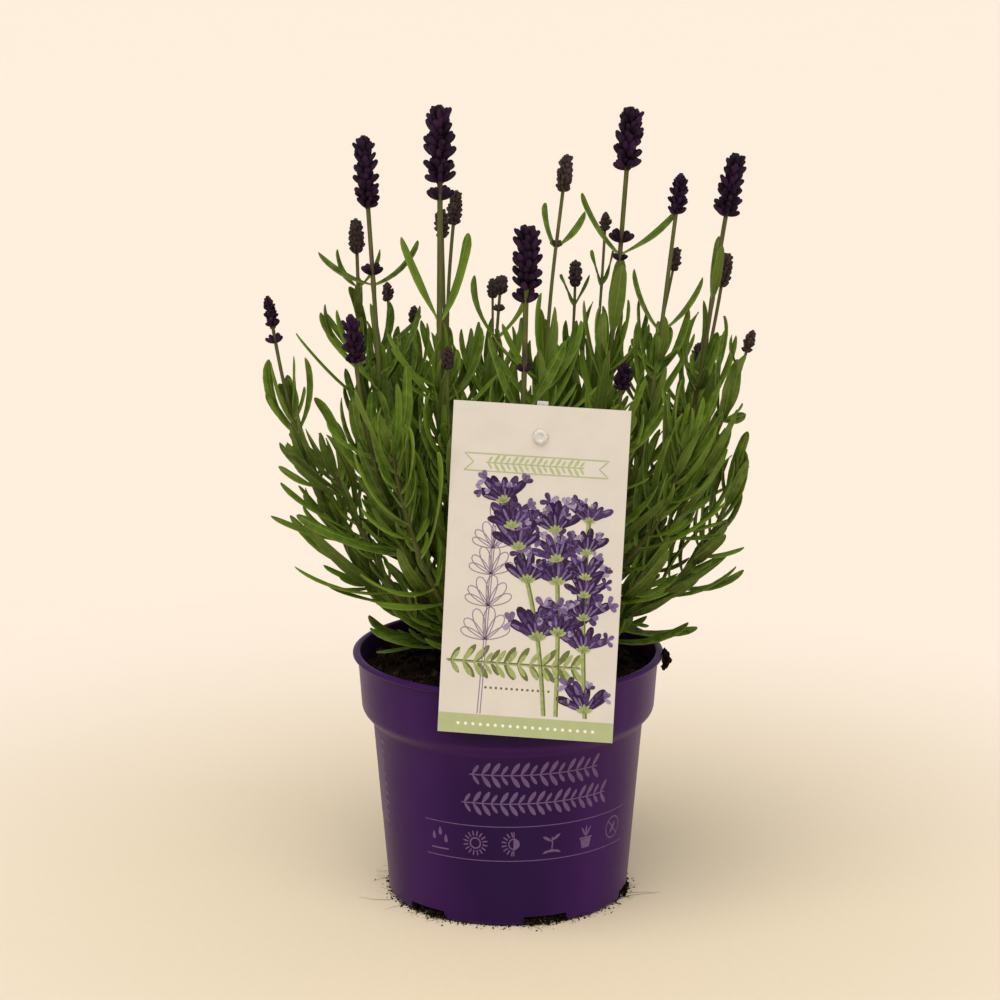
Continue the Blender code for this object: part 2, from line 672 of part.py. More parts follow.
def build_stake():
    """A flat strip with a pin through the card's hole and a button head in front of the card."""
    foot, top, axes = stake_line()
    bm = bmesh.new()
    size = (STAKE_WIDTH, STAKE_THICKNESS, (top - foot).length)
    oriented_box(bm, (foot + top) / 2, axes, size)
    stake = add_object("label_stake", bm, CLEAR)
    right, up, front = card_axes()
    hole = card_hole_centre()
    nearest = foot + axes[2] * (hole - foot).dot(axes[2])
    back = (nearest - hole).dot(front)
    reach = CARD_THICKNESS / 2 + GAP
    turn = Matrix((right, up, front)).transposed().to_4x4()
    bm = bmesh.new()
    rings = []
    for radius, depth in (
        (STAKE_PIN_RADIUS, back),
        (STAKE_PIN_RADIUS, reach),
        (STAKE_HEAD_RADIUS, reach),
        (STAKE_HEAD_RADIUS, reach + 0.5 * STAKE_HEAD_HEIGHT),
        (0.6 * STAKE_HEAD_RADIUS, reach + STAKE_HEAD_HEIGHT),
    ):
        rings.append([
            turn @ Vector((radius * math.cos(angle), radius * math.sin(angle), depth)) + hole
            for angle in (k * math.tau / PIN_SIDES for k in range(PIN_SIDES))
        ])
    points, faces = ring_skin(rings)
    made = [bm.verts.new(p) for p in points]
    for face in faces:
        bm.faces.new([made[k] for k in face])
    pin = cutter("stake_pin", bm)
    union = stake.modifiers.new("Pin", "BOOLEAN")
    union.operation = "UNION"
    union.solver = "EXACT"
    union.object = pin


# ---------------------------------------------------------------- shoots and spikes


def stem_stops(stem, distances):
    """[(distance, the leaf pair's distance or None)] of a stem's rings: two round each pair, and others so
    that no stretch is too long."""
    stops = [(0.0, None)]
    for distance in (*distances, None):
        start = stops[-1][0]
        stretch = (stem.length if distance is None else distance - NODE_BAND / 2) - start
        count = max(math.ceil((stretch - STEM_CLEARANCE) / LONGEST_STRETCH), 0)
        stops += [(start + stretch * (n + 1) / count, None) for n in range(count)]
        if distance is not None:
            stops.append((min(distance + NODE_BAND / 2, stem.length), distance))
    return stops


def build_shoot(name, row, stem, leaves):
    """A square stem. Each leaf is its stem's side face extruded twice, to its middle and to its tip."""
    bands = {}
    for distance, side, leaf in leaves:
        bands.setdefault(distance, []).append((side, leaf))
    stops = stem_stops(stem, sorted(bands))
    bm = bmesh.new()
    rings = []
    for at, _ in stops:
        thickness = row.stem * MM + STEM_FOOT_EXTRA * (1 - at / stem.length)
        rings.append([bm.verts.new(p) for p in stem_corners(stem, at, thickness)])
    bm.faces.new(reversed(rings[0]))
    bm.faces.new(rings[-1])
    for i in range(len(rings) - 1):
        grows = dict(bands[stops[i + 1][1]]) if stops[i + 1][1] is not None else {}
        for j in range(4):
            k = (j + 1) % 4
            face = bm.faces.new((rings[i][j], rings[i][k], rings[i + 1][k], rings[i + 1][j]))
            if j in grows:
                for station in LEAF_STATIONS:
                    face = bmesh.ops.extrude_discrete_faces(bm, faces=[face])["faces"][0]
                    for vert, place in zip(face.verts, leaf_corners(grows[j], station)):
                        vert.co = place
    add_object(name, bm, GREEN)


def whorl_rings(row):
    """[(distance from the spike's foot, radius)] of a spike: bulges where its whorls stand."""
    lowest = lowest_whorl(row)
    axis = row.stem * 0.9
    starts = sorted(lowest - drop for drop in row.drops)
    pitch = row.length / (row.whorls + 0.35)
    rings = [(0.0, axis)]
    for start in starts:
        if start > rings[-1][0] + 0.5:
            rings.append((start, axis))
        size = 0.92 * row.radius
        rings.append((start + 2.0, size))
        if start + 3.4 < lowest:
            rings.append((start + 3.4, axis))
    for n in range(row.whorls):
        share = n / max(row.whorls - 1, 1)
        size = row.radius * (1 - 0.42 * share ** 1.8)
        start = lowest + n * pitch
        if start > rings[-1][0] + 0.3:
            rings.append((start, axis if n == 0 else size * 0.62))
        rings.append((start + 0.6 * pitch, size))
    rings.append((lowest + row.length, row.radius * 0.3))
    return rings


def build_spike(name, row):
    spike = spike_stem(row)
    rings = []
    for at, radius in whorl_rings(row):
        point, _, side, other = spike.frame(at * MM)
        rings.append([
            point + (side * math.cos(angle) + other * math.sin(angle)) * radius * MM
            for angle in (k * math.tau / SPIKE_SIDES for k in range(SPIKE_SIDES))
        ])
    points, faces = ring_skin(rings)
    bm = bmesh.new()
    made = [bm.verts.new(p) for p in points]
    for face in faces:
        bm.faces.new([made[k] for k in face])
    add_object(name, bm, PURPLE if row.radius > 3.5 else BUD, 60)


def main():
    for found in list(bpy.data.objects):
        bpy.data.objects.remove(found)
    build_pot()
    build_soil()
    build_crown()
    build_card()
    build_stake()
    for name, row, stem, leaves in plan_shoots():
        build_shoot(name, row, stem, leaves)
        if isinstance(row, Flower):
            build_spike(name.replace("flowering_shoot", "flower_spike"), row)


main()
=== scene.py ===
"""Looks for a lavender plant in flower, in a two-step violet nursery pot with a picture label on a clear
stake. Everything stands where the CAD model's pieces stand: the shoots' stems and their larger leaves are
laid out by the same rules as there. The small leaves and the flowers are added to them here.
"""

import copy
import math
import random
from collections import namedtuple

import bmesh
import bpy
import numpy as np
from mathutils import Matrix, Quaternion, Vector, noise
from mathutils.bvhtree import BVHTree
from mathutils.geometry import delaunay_2d_cdt


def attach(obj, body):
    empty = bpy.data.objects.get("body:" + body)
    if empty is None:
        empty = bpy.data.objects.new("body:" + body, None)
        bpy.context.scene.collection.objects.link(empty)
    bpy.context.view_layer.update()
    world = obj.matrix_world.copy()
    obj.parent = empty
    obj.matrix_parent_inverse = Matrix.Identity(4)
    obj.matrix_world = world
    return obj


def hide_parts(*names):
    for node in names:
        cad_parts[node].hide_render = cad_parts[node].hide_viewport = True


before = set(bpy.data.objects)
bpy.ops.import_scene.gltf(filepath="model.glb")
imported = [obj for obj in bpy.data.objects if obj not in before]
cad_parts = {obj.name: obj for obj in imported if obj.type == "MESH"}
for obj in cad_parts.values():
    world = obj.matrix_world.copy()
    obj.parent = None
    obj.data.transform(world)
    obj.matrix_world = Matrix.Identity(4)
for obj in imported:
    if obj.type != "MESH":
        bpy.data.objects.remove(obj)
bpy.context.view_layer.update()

MM = 0.001
GAP = 0.3 * MM  # free space between pieces that touch

# Pot
RIM_RADIUS = 60 * MM
POT_HEIGHT = 97 * MM
COLLAR_FOOT_RADIUS = 56.6 * MM
BASE_RADIUS = 46.4 * MM
DRAIN_ANGLES = [math.radians(18) + n * math.tau / 6 for n in range(6)]  # from the front, towards +X
DRAIN_WIDTH = 17 * MM
DRAIN_HEIGHT = 3.8 * MM
DRAIN_DEPTH = 7 * MM

# Soil and root crown
SOIL_EDGE_HEIGHT = 87 * MM
SOIL_MIDDLE_HEIGHT = 89.5 * MM
CROWN_CENTRE = Vector((0, 0, 84 * MM))
CROWN_RADIUS = 17 * MM

# Label and its stake
CARD_WIDTH = 65 * MM
CARD_HEIGHT = 124 * MM
CARD_THICKNESS = 0.4 * MM
CARD_LEAN = math.radians(4.8)  # the top stands further back than the foot
CARD_YAW = math.radians(5.2)  # the right side stands nearer the front
CARD_ROLL = math.radians(2.5)  # the top leans to the right
CARD_HOLE_RADIUS = 2.1 * MM
CARD_HOLE_DROP = 11.5 * MM  # from the top edge
CARD_HOLE_PLACE = (11.8 * MM, 193 * MM)  # x and z
STAKE_WIDTH = 4.2 * MM
STAKE_THICKNESS = 1.6 * MM
STAKE_FOOT = Vector((4.5 * MM, -41.5 * MM, 38 * MM))
STAKE_ABOVE_CARD = 1.3 * MM

# Shoots
STEM_FOOT_EXTRA = 0.35 * MM  # how much thicker a stem's half-width is at its foot
FIRST_LEAF_AT = 15 * MM  # along the stem
ORDINARY_PAIRS = 5  # of leaves on the lower part of a flowering shoot
LEAF_THICKNESS = 0.8 * MM
LEAF_CLEARANCE = 0.25 * MM
STEM_CLEARANCE = 0.2 * MM
FOLIAGE_HALF_WIDTH = 92 * MM
FOLIAGE_HALF_DEPTH = 84 * MM
FOLIAGE_HEIGHT = 292 * MM
LOWEST_START = 0.46  # the upward part of the lowest direction in which a shoot leaves the crown
NEAREST_STEMS = math.radians(20)  # between two shoots' directions where they leave the crown
SEED = 11

Flower = namedtuple("Flower", "x y z lean_x lean_y length radius whorls stem leafy_to pairs drops")
Leafy = namedtuple("Leafy", "x y z lean_x lean_y stem pairs out")

# One row for each flowering shoot, in mm. x, y and z are where the spike starts, lean_x and lean_y how
# far the stem leans there for each unit of height, length and radius the spike's own, stem the stem's
# half-width, and leafy_to the height that its ordinary leaves reach up to. pairs are single pairs of
# leaves on the bare flower stem: (drop below the spike, leaf length, leaf width, turn from the front in
# degrees, opening angle in degrees). drops are the heights below the spike of separate lower whorls.
FLOWERS = (
    Flower(-88.6, -5, 224, -0.16, 0.0, 12, 3.2, 3, 0.75, 184, (), (4,)),
    Flower(-57.5, 15, 249, -0.03, 0.05, 13, 3.1, 3, 0.75, 205,
           ((13, 17, 3, 0, 32), (24, 16, 2.6, 80, 35)), ()),
    Flower(-52.6, 0, 269.7, -0.06, 0.0, 26, 5.2, 6, 0.95, 200, ((30, 24, 3.4, 5, 42),), (26,)),
    Flower(-56.5, -30, 215.9, -0.10, -0.05, 18, 4.6, 4, 0.85, 176, (), ()),
    Flower(-25.4, -10, 280.4, 0.0, 0.0, 28, 6.2, 6, 1.15, 196, ((52, 34, 4.6, 15, 22),), (4.6,)),
    Flower(-21, 30, 257.5, 0.10, 0.05, 13, 3.0, 3, 0.75, 190, (), ()),
    Flower(-25.5, 44, 250, -0.03, 0.1, 11, 3.0, 3, 0.7, 186, (), ()),
    Flower(6.4, -41, 243.5, 0.02, -0.08, 25, 6.0, 6, 1.15, 178, ((46, 32, 4.4, 20, 25),), (2.6, 29)),
    Flower(20.5, 0, 275.3, 0.12, 0.0, 13.5, 3.2, 3, 0.75, 200, ((21.5, 17, 3.4, 0, 30),), (21,)),
    Flower(44.5, 5, 283.3, 0.07, 0, 22.5, 6, 5, 1, 200,
           ((33, 27, 3.2, 0, 40), (62, 28, 5, 78, 18)), (28, 35)),
    Flower(37.5, 40, 253.5, 0.05, 0.05, 7, 2.4, 2, 0.6, 190, ((21, 14, 1.7, 0, 20),), ()),
    Flower(25.9, 33, 232.8, 0.02, 0.05, 10, 2.8, 2, 0.6, 182, ((7, 13, 1.7, 0, 24),), ()),
    Flower(62.9, 0, 266.6, 0.12, 0.0, 15, 4.0, 4, 0.85, 205, ((45, 26, 3.4, 10, 28),), ()),
    Flower(64, 40, 237.8, 0.2, 0.1, 9, 2.5, 2, 0.6, 186, (), ()),
    Flower(82.3, 10, 264.3, 0.16, 0.0, 23.5, 5.4, 6, 0.95, 198, ((32, 24, 3.6, 60, 22),), ()),
    Flower(83, 42, 231, 0.16, 0.1, 13, 3.4, 3, 0.75, 188, ((2, 17, 4.5, 75, 12),), ()),
    Flower(89.6, -8, 215.3, 0.3, 0.0, 8.5, 2.4, 2, 0.6, 188, ((7, 14, 1.9, 0, 38),), ()),
    Flower(41.9, -33, 206.3, 0.12, -0.1, 10.5, 3.8, 3, 0.8, 178, (), ()),
    Flower(-22.5, -31, 213.6, 0.0, -0.1, 8.5, 2.7, 2, 0.6, 176, (), ()),
    Flower(-3.2, 20, 231.5, 0.08, 0.05, 7.5, 3.0, 2, 0.65, 190, ((16, 26, 3.6, 40, 28),), (4,)),
    Flower(73.5, 33, 203, 0.2, 0.1, 7.5, 2.7, 2, 0.6, 180, (), ()),
    Flower(-46.8, 45, 225, -0.05, 0.1, 7, 2.6, 2, 0.6, 186, (), ()),
    Flower(-36.5, 20, 221, 0.1, 0.05, 6.5, 2.2, 2, 0.55, 188, (), ()),
    Flower(-6, 56, 224, 0.0, 0.15, 7.5, 2.4, 2, 0.55, 186, (), ()),
)
# One row for each leafy shoot, in mm, to its growing tip. pairs is its number of leaf pairs, and out how
# low it leaves the crown, from 0 for a shoot that climbs to 1 for one that sets out level.
LEAFY = (
    Leafy(-66, -8, 168, -0.45, 0.0, 0.95, 7, 0.9),
    Leafy(-43, -38, 184, -0.12, -0.15, 0.95, 7, 0.6),
    Leafy(84, -6, 158, 0.35, -0.05, 0.9, 7, 1.0),
    Leafy(66, -24, 182, 0.15, -0.1, 0.9, 7, 0.7),
    Leafy(34, 70, 172, 0.1, 0.35, 0.9, 7, 0.8),
    Leafy(-42, 68, 170, -0.15, 0.35, 0.9, 7, 0.8),
    Leafy(14, 24, 196, 0.05, 0.05, 0.9, 7, 0.1),
)


# ---------------------------------------------------------------- curves and frames


def bezier(p0, p1, p2, p3, t):
    s = 1 - t
    return p0 * s**3 + p1 * (3 * s * s * t) + p2 * (3 * s * t * t) + p3 * t**3


class Stem:
    """A stem's centre line with its length, and frames that turn with it as little as they can."""

    STEPS = 60

    def __init__(self, foot, foot_way, tip, tip_way, twist):
        reach = (tip - foot).length
        p1 = foot + foot_way * reach * 0.36
        p2 = tip - tip_way * reach * 0.42
        self.points = [bezier(foot, p1, p2, tip, i / self.STEPS) for i in range(self.STEPS + 1)]
        self.at = [0.0]
        for a, b in zip(self.points, self.points[1:]):
            self.at.append(self.at[-1] + (b - a).length)
        self.length = self.at[-1]
        self.ways = []
        for i in range(self.STEPS + 1):
            before, after = max(i - 1, 0), min(i + 1, self.STEPS)
            self.ways.append((self.points[after] - self.points[before]).normalized())
        side = Vector((math.cos(twist), math.sin(twist), 0))
        self.sides = []
        for way in reversed(self.ways):
            side = (side - way * side.dot(way)).normalized()
            self.sides.append(side)
        self.sides.reverse()

    def frame(self, distance):
        """(point, way, first side, second side) at a distance from the foot."""
        distance = min(max(distance, 0.0), self.length)
        i = next(k for k in range(1, self.STEPS + 1) if self.at[k] >= distance - 1e-12)
        share = (distance - self.at[i - 1]) / (self.at[i] - self.at[i - 1])
        point = self.points[i - 1].lerp(self.points[i], share)
        way = self.ways[i - 1].lerp(self.ways[i], share).normalized()
        side = self.sides[i - 1].lerp(self.sides[i], share)
        side = (side - way * side.dot(way)).normalized()
        return point, way, side, way.cross(side)

    def distance_at_height(self, height):
        """The distance from the foot at which the stem last rises through this height."""
        below = [i for i, p in enumerate(self.points) if p.z <= height]
        return self.at[max(below)] if below else 0.0


class Leaf:
    """A leaf's centre line and frame, from where it leaves the stem. Its upper side faces the stem."""

    def __init__(self, foot, way, out, length, width, opening, curl, drift, roll):
        self.foot, self.way, self.out = foot, way, out
        self.right = way.cross(out)
        self.length, self.width = length, width
        self.opening, self.curl, self.drift, self.roll = opening, curl, drift, roll

    def frame(self, share):
        """(point, right, up) at a share of the leaf's length."""
        steps = 8
        point = self.foot.copy()
        for i in range(steps):
            angle = self.opening + self.curl * share * (i + 0.5) / steps
            heading = self.way * math.cos(angle) + self.out * math.sin(angle)
            point += heading * (self.length * share / steps)
        angle = self.opening + self.curl * share
        heading = self.way * math.cos(angle) + self.out * math.sin(angle)
        up = self.way * math.sin(angle) - self.out * math.cos(angle)
        point += self.right * (self.drift * self.length * share * share)
        turn = Quaternion(heading, self.roll * share)
        return point, turn @ self.right, turn @ up


def leaf_width_at(share):
    """A leaf's width along its length, as a share of its full width: narrow at its foot, blunt at its tip."""
    return math.sin(math.pi * (0.12 + 0.8 * share)) ** 0.7


# ---------------------------------------------------------------- what stands in a leaf's way


class Crowd:
    """The surfaces already placed, each with its owner, to test a new leaf against."""

    def __init__(self):
        self.trees, self.owners, self.lows, self.highs = [], [], [], []

    def add(self, owner, points, faces):
        self.trees.append(BVHTree.FromPolygons(points, faces))
        self.owners.append(owner)
        self.lows.append([min(p[k] for p in points) for k in range(3)])
        self.highs.append([max(p[k] for p in points) for k in range(3)])

    def hit(self, owner, points, faces):
        low = np.array([min(p[k] for p in points) for k in range(3)])
        high = np.array([max(p[k] for p in points) for k in range(3)])
        lows, highs = np.array(self.lows), np.array(self.highs)
        near = np.nonzero(((lows <= high) & (highs >= low)).all(axis=1))[0]
        tree = BVHTree.FromPolygons(points, faces)
        return any(self.owners[i] != owner and tree.overlap(self.trees[i]) for i in near)


def ring_skin(rings):
    """Points and faces of a closed skin through rings of equal count."""
    count = len(rings[0])
    points = [p for ring in rings for p in ring]
    faces = []
    for i in range(len(rings) - 1):
        for j in range(count):
            k = (j + 1) % count
            faces.append((i * count + j, i * count + k, (i + 1) * count + k, (i + 1) * count + j))
    faces.append(tuple(reversed(range(count))))
    faces.append(tuple(range(len(points) - count, len(points))))
    return points, faces


def leaf_corners(leaf, share, grow=0.0):
    point, right, up = leaf.frame(share)
    half_width = leaf.width * leaf_width_at(share) / 2 + grow
    half_depth = LEAF_THICKNESS * (0.5 if share < 0.9 else 0.3) + grow
    return [
        point - right * half_width - up * half_depth,
        point + right * half_width - up * half_depth,
        point + right * half_width + up * half_depth,
        point - right * half_width + up * half_depth,
    ]


LEAF_STATIONS = (0.5, 1.0)


def leaf_skin(leaf):
    return ring_skin([leaf_corners(leaf, t, LEAF_CLEARANCE) for t in (0.06, *LEAF_STATIONS)])


def stem_skin(stem, half_width, rings=14):
    half_width += STEM_CLEARANCE
    return ring_skin([stem_corners(stem, stem.length * i / rings, half_width) for i in range(rings + 1)])


def stem_corners(stem, distance, half_width):
    point, _, side, other = stem.frame(distance)
    return [
        point + (side - other) * half_width,
        point + (side + other) * half_width,
        point + (other - side) * half_width,
        point - (side + other) * half_width,
    ]


def box_skin(centre, axes, halves):
    rings = []
    for z in (-1, 1):
        rings.append(
            [
                centre + axes[0] * (x * halves[0]) + axes[1] * (y * halves[1]) + axes[2] * (z * halves[2])
                for x, y in ((-1, -1), (1, -1), (1, 1), (-1, 1))
            ]
        )
    return ring_skin(rings)


def turned_skin(profile):
    """A skin of revolution round the pot's axis through (radius, height) in mm."""
    return ring_skin([
        [Vector((radius * math.cos(k * math.tau / 32), radius * math.sin(k * math.tau / 32), height)) * MM
         for k in range(32)]
        for radius, height in profile
    ])


# ---------------------------------------------------------------- the label's place


def card_axes():
    """The card's right, up and outward (towards the front) directions."""
    right = Vector((math.cos(CARD_YAW), -math.sin(CARD_YAW), 0))
    front = Vector((-math.sin(CARD_YAW), -math.cos(CARD_YAW), 0))
    up = Vector((0, 0, 1))
    front, up = (
        front * math.cos(CARD_LEAN) + up * math.sin(CARD_LEAN),
        up * math.cos(CARD_LEAN) - front * math.sin(CARD_LEAN),
    )
    turn = Quaternion(front, -CARD_ROLL)
    return turn @ right, turn @ up, front


def card_hole_centre():
    """The hole's centre, with the card's back just clear of the pot's lip."""
    _, _, front = card_axes()
    x, z = CARD_HOLE_PLACE
    lip = RIM_RADIUS * math.hypot(front.x, front.y) + POT_HEIGHT * front.z
    wanted = lip + GAP + CARD_THICKNESS / 2
    return Vector((x, (wanted - front.x * x - front.z * z) / front.y, z))


def card_middle():
    _, up, _ = card_axes()
    return card_hole_centre() + up * (CARD_HOLE_DROP - CARD_HEIGHT / 2)


def stake_line():
    """(foot, top, axes) of the stake, whose top stands just behind the card's top edge."""
    right, up, front = card_axes()
    top = card_hole_centre() + up * (CARD_HOLE_DROP + STAKE_ABOVE_CARD)
    top -= front * (CARD_THICKNESS / 2 + GAP + STAKE_THICKNESS / 2)
    along = (top - STAKE_FOOT).normalized()
    right = (right - along * right.dot(along)).normalized()
    return STAKE_FOOT, top, (right, along.cross(right), along)


# ---------------------------------------------------------------- laying out the shoots


def crown_ways():
    """Where each shoot leaves the crown: lower the further out it ends, and pushed apart from the rest."""
    ways = []
    for row in (*FLOWERS, *LEAFY):
        spread = math.hypot(row.x, row.y) * MM / FOLIAGE_HALF_WIDTH
        low = 12 + 60 * min(spread, 1)
        if isinstance(row, Leafy):
            low = max(low, 78 * row.out)
        polar, around = math.radians(low), math.atan2(row.y, row.x)
        level = math.sin(polar)
        ways.append(Vector((level * math.cos(around), level * math.sin(around), math.cos(polar))))
    for _ in range(200):
        for i in range(len(ways)):
            for j in range(i):
                apart = ways[i].angle(ways[j])
                if apart < NEAREST_STEMS:
                    push = (ways[i] - ways[j]).normalized() * (NEAREST_STEMS - apart) / 4
                    ways[i] = (ways[i] + push).normalized()
                    ways[j] = (ways[j] - push).normalized()
        for i, way in enumerate(ways):
            if way.z < LOWEST_START:
                level = Vector((way.x, way.y)).normalized() * math.sqrt(1 - LOWEST_START**2)
                ways[i] = Vector((level.x, level.y, LOWEST_START))
    return ways


def lean_of(row):
    """The direction of a shoot's top."""
    return Vector((row.lean_x, row.lean_y, 1)).normalized()


def top_of(row):
    """Where a shoot's spike starts, or its growing tip."""
    return Vector((row.x, row.y, row.z)) * MM


def quarters(side, other):
    """The four directions round a stem in which its leaves stand."""
    return side, other, -side, -other


def lowest_whorl(row):
    """How far below the spike itself its lowest separate whorl stands, in mm."""
    return max(row.drops, default=0)


def route(row, foot_way, twist):
    """A shoot's stem, which sets out as low as the soil and the pot's rim let it. A flowering one ends
    under its spike's lowest whorl."""
    tip_way, top = lean_of(row), top_of(row)
    if isinstance(row, Flower):
        top -= tip_way * (lowest_whorl(row) * MM + GAP)
    foot = CROWN_CENTRE + foot_way * (CROWN_RADIUS + 0.35 * MM)
    thickness = row.stem * MM + STEM_FOOT_EXTRA + 0.5 * MM
    for rise in range(12):
        start = (foot_way + Vector((0, 0, 0.1 + 0.15 * rise))).normalized()
        stem = Stem(foot, start, top, tip_way, twist)
        if all(clears_pot(point, thickness) for point in stem.points[3:]):
            break
    return stem


def clears_pot(point, thickness):
    """Whether what is this thick clears the soil and the pot's rim at a point."""
    around = math.hypot(point.x, point.y)
    if around < COLLAR_FOOT_RADIUS - 3 * MM - thickness:
        return point.z > SOIL_MIDDLE_HEIGHT + 1 * MM + thickness
    return around > RIM_RADIUS + thickness or point.z > POT_HEIGHT + 1 * MM + thickness


# What leaves keep out of: half sizes round the card, a margin round the stake, and profiles round the
# pot's rim and on the soil, as (radius, height) in mm.
LABEL_ROOM = (34 * MM, 63.5 * MM, 1.2 * MM)
STAKE_ROOM = 0.6 * MM
POT_ROOM = ((61, 60), (61, 98), (54.5, 98), (54.5, 60))
SOIL_ROOM = ((54, 60), (54, 89), (24, 91), (2, 91))


def plan_shoots():
    """[(name, row, stem, leaves)] of all shoots, with leaves as (distance along the stem, side, Leaf), and
    what they and everything else fill."""
    draw = random.Random(SEED)
    crowd = Crowd()
    shoots = []
    for number, (row, foot_way) in enumerate(zip((*FLOWERS, *LEAFY), crown_ways())):
        flowering = isinstance(row, Flower)
        if flowering:
            name = f"flowering_shoot_{number + 1:02d}"
        else:
            name = f"leafy_shoot_{number + 1 - len(FLOWERS):02d}"
        stem = route(row, foot_way, 0.0 if flowering else draw.uniform(0, math.pi / 2))
        shoots.append((name, row, stem, []))
        crowd.add(name, *stem_skin(stem, row.stem * MM))
        if flowering:
            spike = spike_stem(row)
            rings = [stem_corners(spike, spike.length * i / 6, row.radius * 0.9 * MM) for i in range(7)]
            crowd.add(name + "_spike", *ring_skin(rings))
    crowd.add("label", *box_skin(card_middle(), card_axes(), LABEL_ROOM))
    foot, top, axes = stake_line()
    halves = (STAKE_WIDTH / 2 + STAKE_ROOM, STAKE_THICKNESS / 2 + STAKE_ROOM, (top - foot).length / 2)
    crowd.add("stake", *box_skin((foot + top) / 2, axes, halves))
    crowd.add("pot", *turned_skin(POT_ROOM))
    crowd.add("soil", *turned_skin(SOIL_ROOM))
    for name, row, stem, leaves in shoots:
        for wish in leaf_wishes(row, stem, draw):
            leaf = first_clear(name, crowd, *wish)
            if leaf:
                crowd.add(name, *leaf_skin(leaf[2]))
                leaves.append(leaf)
    return shoots, crowd


def spike_stem(row):
    """The centre line of a flower spike, from its lowest whorl to its tip."""
    way = lean_of(row)
    start = top_of(row) - way * (lowest_whorl(row) * MM)
    end = top_of(row) + way * row.length * MM
    return Stem(start, way, end, way, 0.0)


def pair_place(last, share):
    """How far along a stem a pair of leaves stands, the pairs drawing closer towards the last."""
    return FIRST_LEAF_AT + (last - FIRST_LEAF_AT) * share ** 0.9


def leaf_wishes(row, stem, draw):
    """Every leaf a shoot would like to have, as first_clear takes it."""
    wishes = []
    if isinstance(row, Flower):
        last = stem.distance_at_height(row.leafy_to * MM)
        pairs = ORDINARY_PAIRS
    else:
        last = stem.length - 4 * MM
        pairs = row.pairs
    for n in range(pairs):
        share = n / (pairs - 1)
        distance = pair_place(last, share)
        length = (34 + 14 * math.sin(math.pi * min(share + 0.15, 1))) * draw.uniform(0.85, 1.1)
        width = (5.2 - 1.3 * share) * draw.uniform(0.85, 1.1)
        opening = 54 - 30 * share + draw.uniform(-8, 8)
        for half in (0, 2):
            wishes.append((stem, row, distance, n % 2 + half, length, width, opening + draw.uniform(-7, 7),
                           draw.uniform(-34, 10), draw.uniform(-0.12, 0.12), draw.uniform(-0.5, 0.5)))
    if isinstance(row, Flower):
        lowest = lowest_whorl(row)
        for drop, length, width, turn, opening in row.pairs:
            distance = stem.length - max(drop - lowest, 1.2) * MM
            side = 0 if turn < 45 else 1
            for half in (0, 2):
                wishes.append((stem, row, distance, side + half, length, width, opening,
                               draw.uniform(-14, 4), draw.uniform(-0.05, 0.05), draw.uniform(-0.3, 0.3)))
    return wishes


# How a leaf is turned, in degrees, and shortened until it finds room.
LEAF_TRIES = ((0, 1), (-12, 1), (12, 1), (-22, 0.9), (22, 0.85), (0, 0.7), (-15, 0.6), (15, 0.55))


def first_clear(name, crowd, stem, row, distance, side, length, width, opening, curl, drift, roll):
    """The leaf as wished, or turned or shortened until nothing is in its way, or None."""
    point, way, first, second = stem.frame(distance)
    out = quarters(first, second)[side]
    foot = point + out * (row.stem * MM)
    for turn, size in LEAF_TRIES:
        angle = min(max(opening + turn, 12), 88)
        leaf = Leaf(foot, way, out, length * size * MM, width * (0.5 + 0.5 * size) * MM,
                    math.radians(angle), math.radians(curl), drift, roll)
        if in_outline(leaf) and not crowd.hit(name, *leaf_skin(leaf)):
            return distance, side, leaf
    return None


def in_outline(leaf):
    """Whether a leaf's tip stays in the plant's outline: an upright cylinder of oval section, up to the
    foliage's height.
    """
    tip = leaf.frame(1.0)[0]
    return math.hypot(tip.x / FOLIAGE_HALF_WIDTH, tip.y / FOLIAGE_HALF_DEPTH) < 1 and tip.z < FOLIAGE_HEIGHT


# ---------------------------------------------------------------- shader nodes


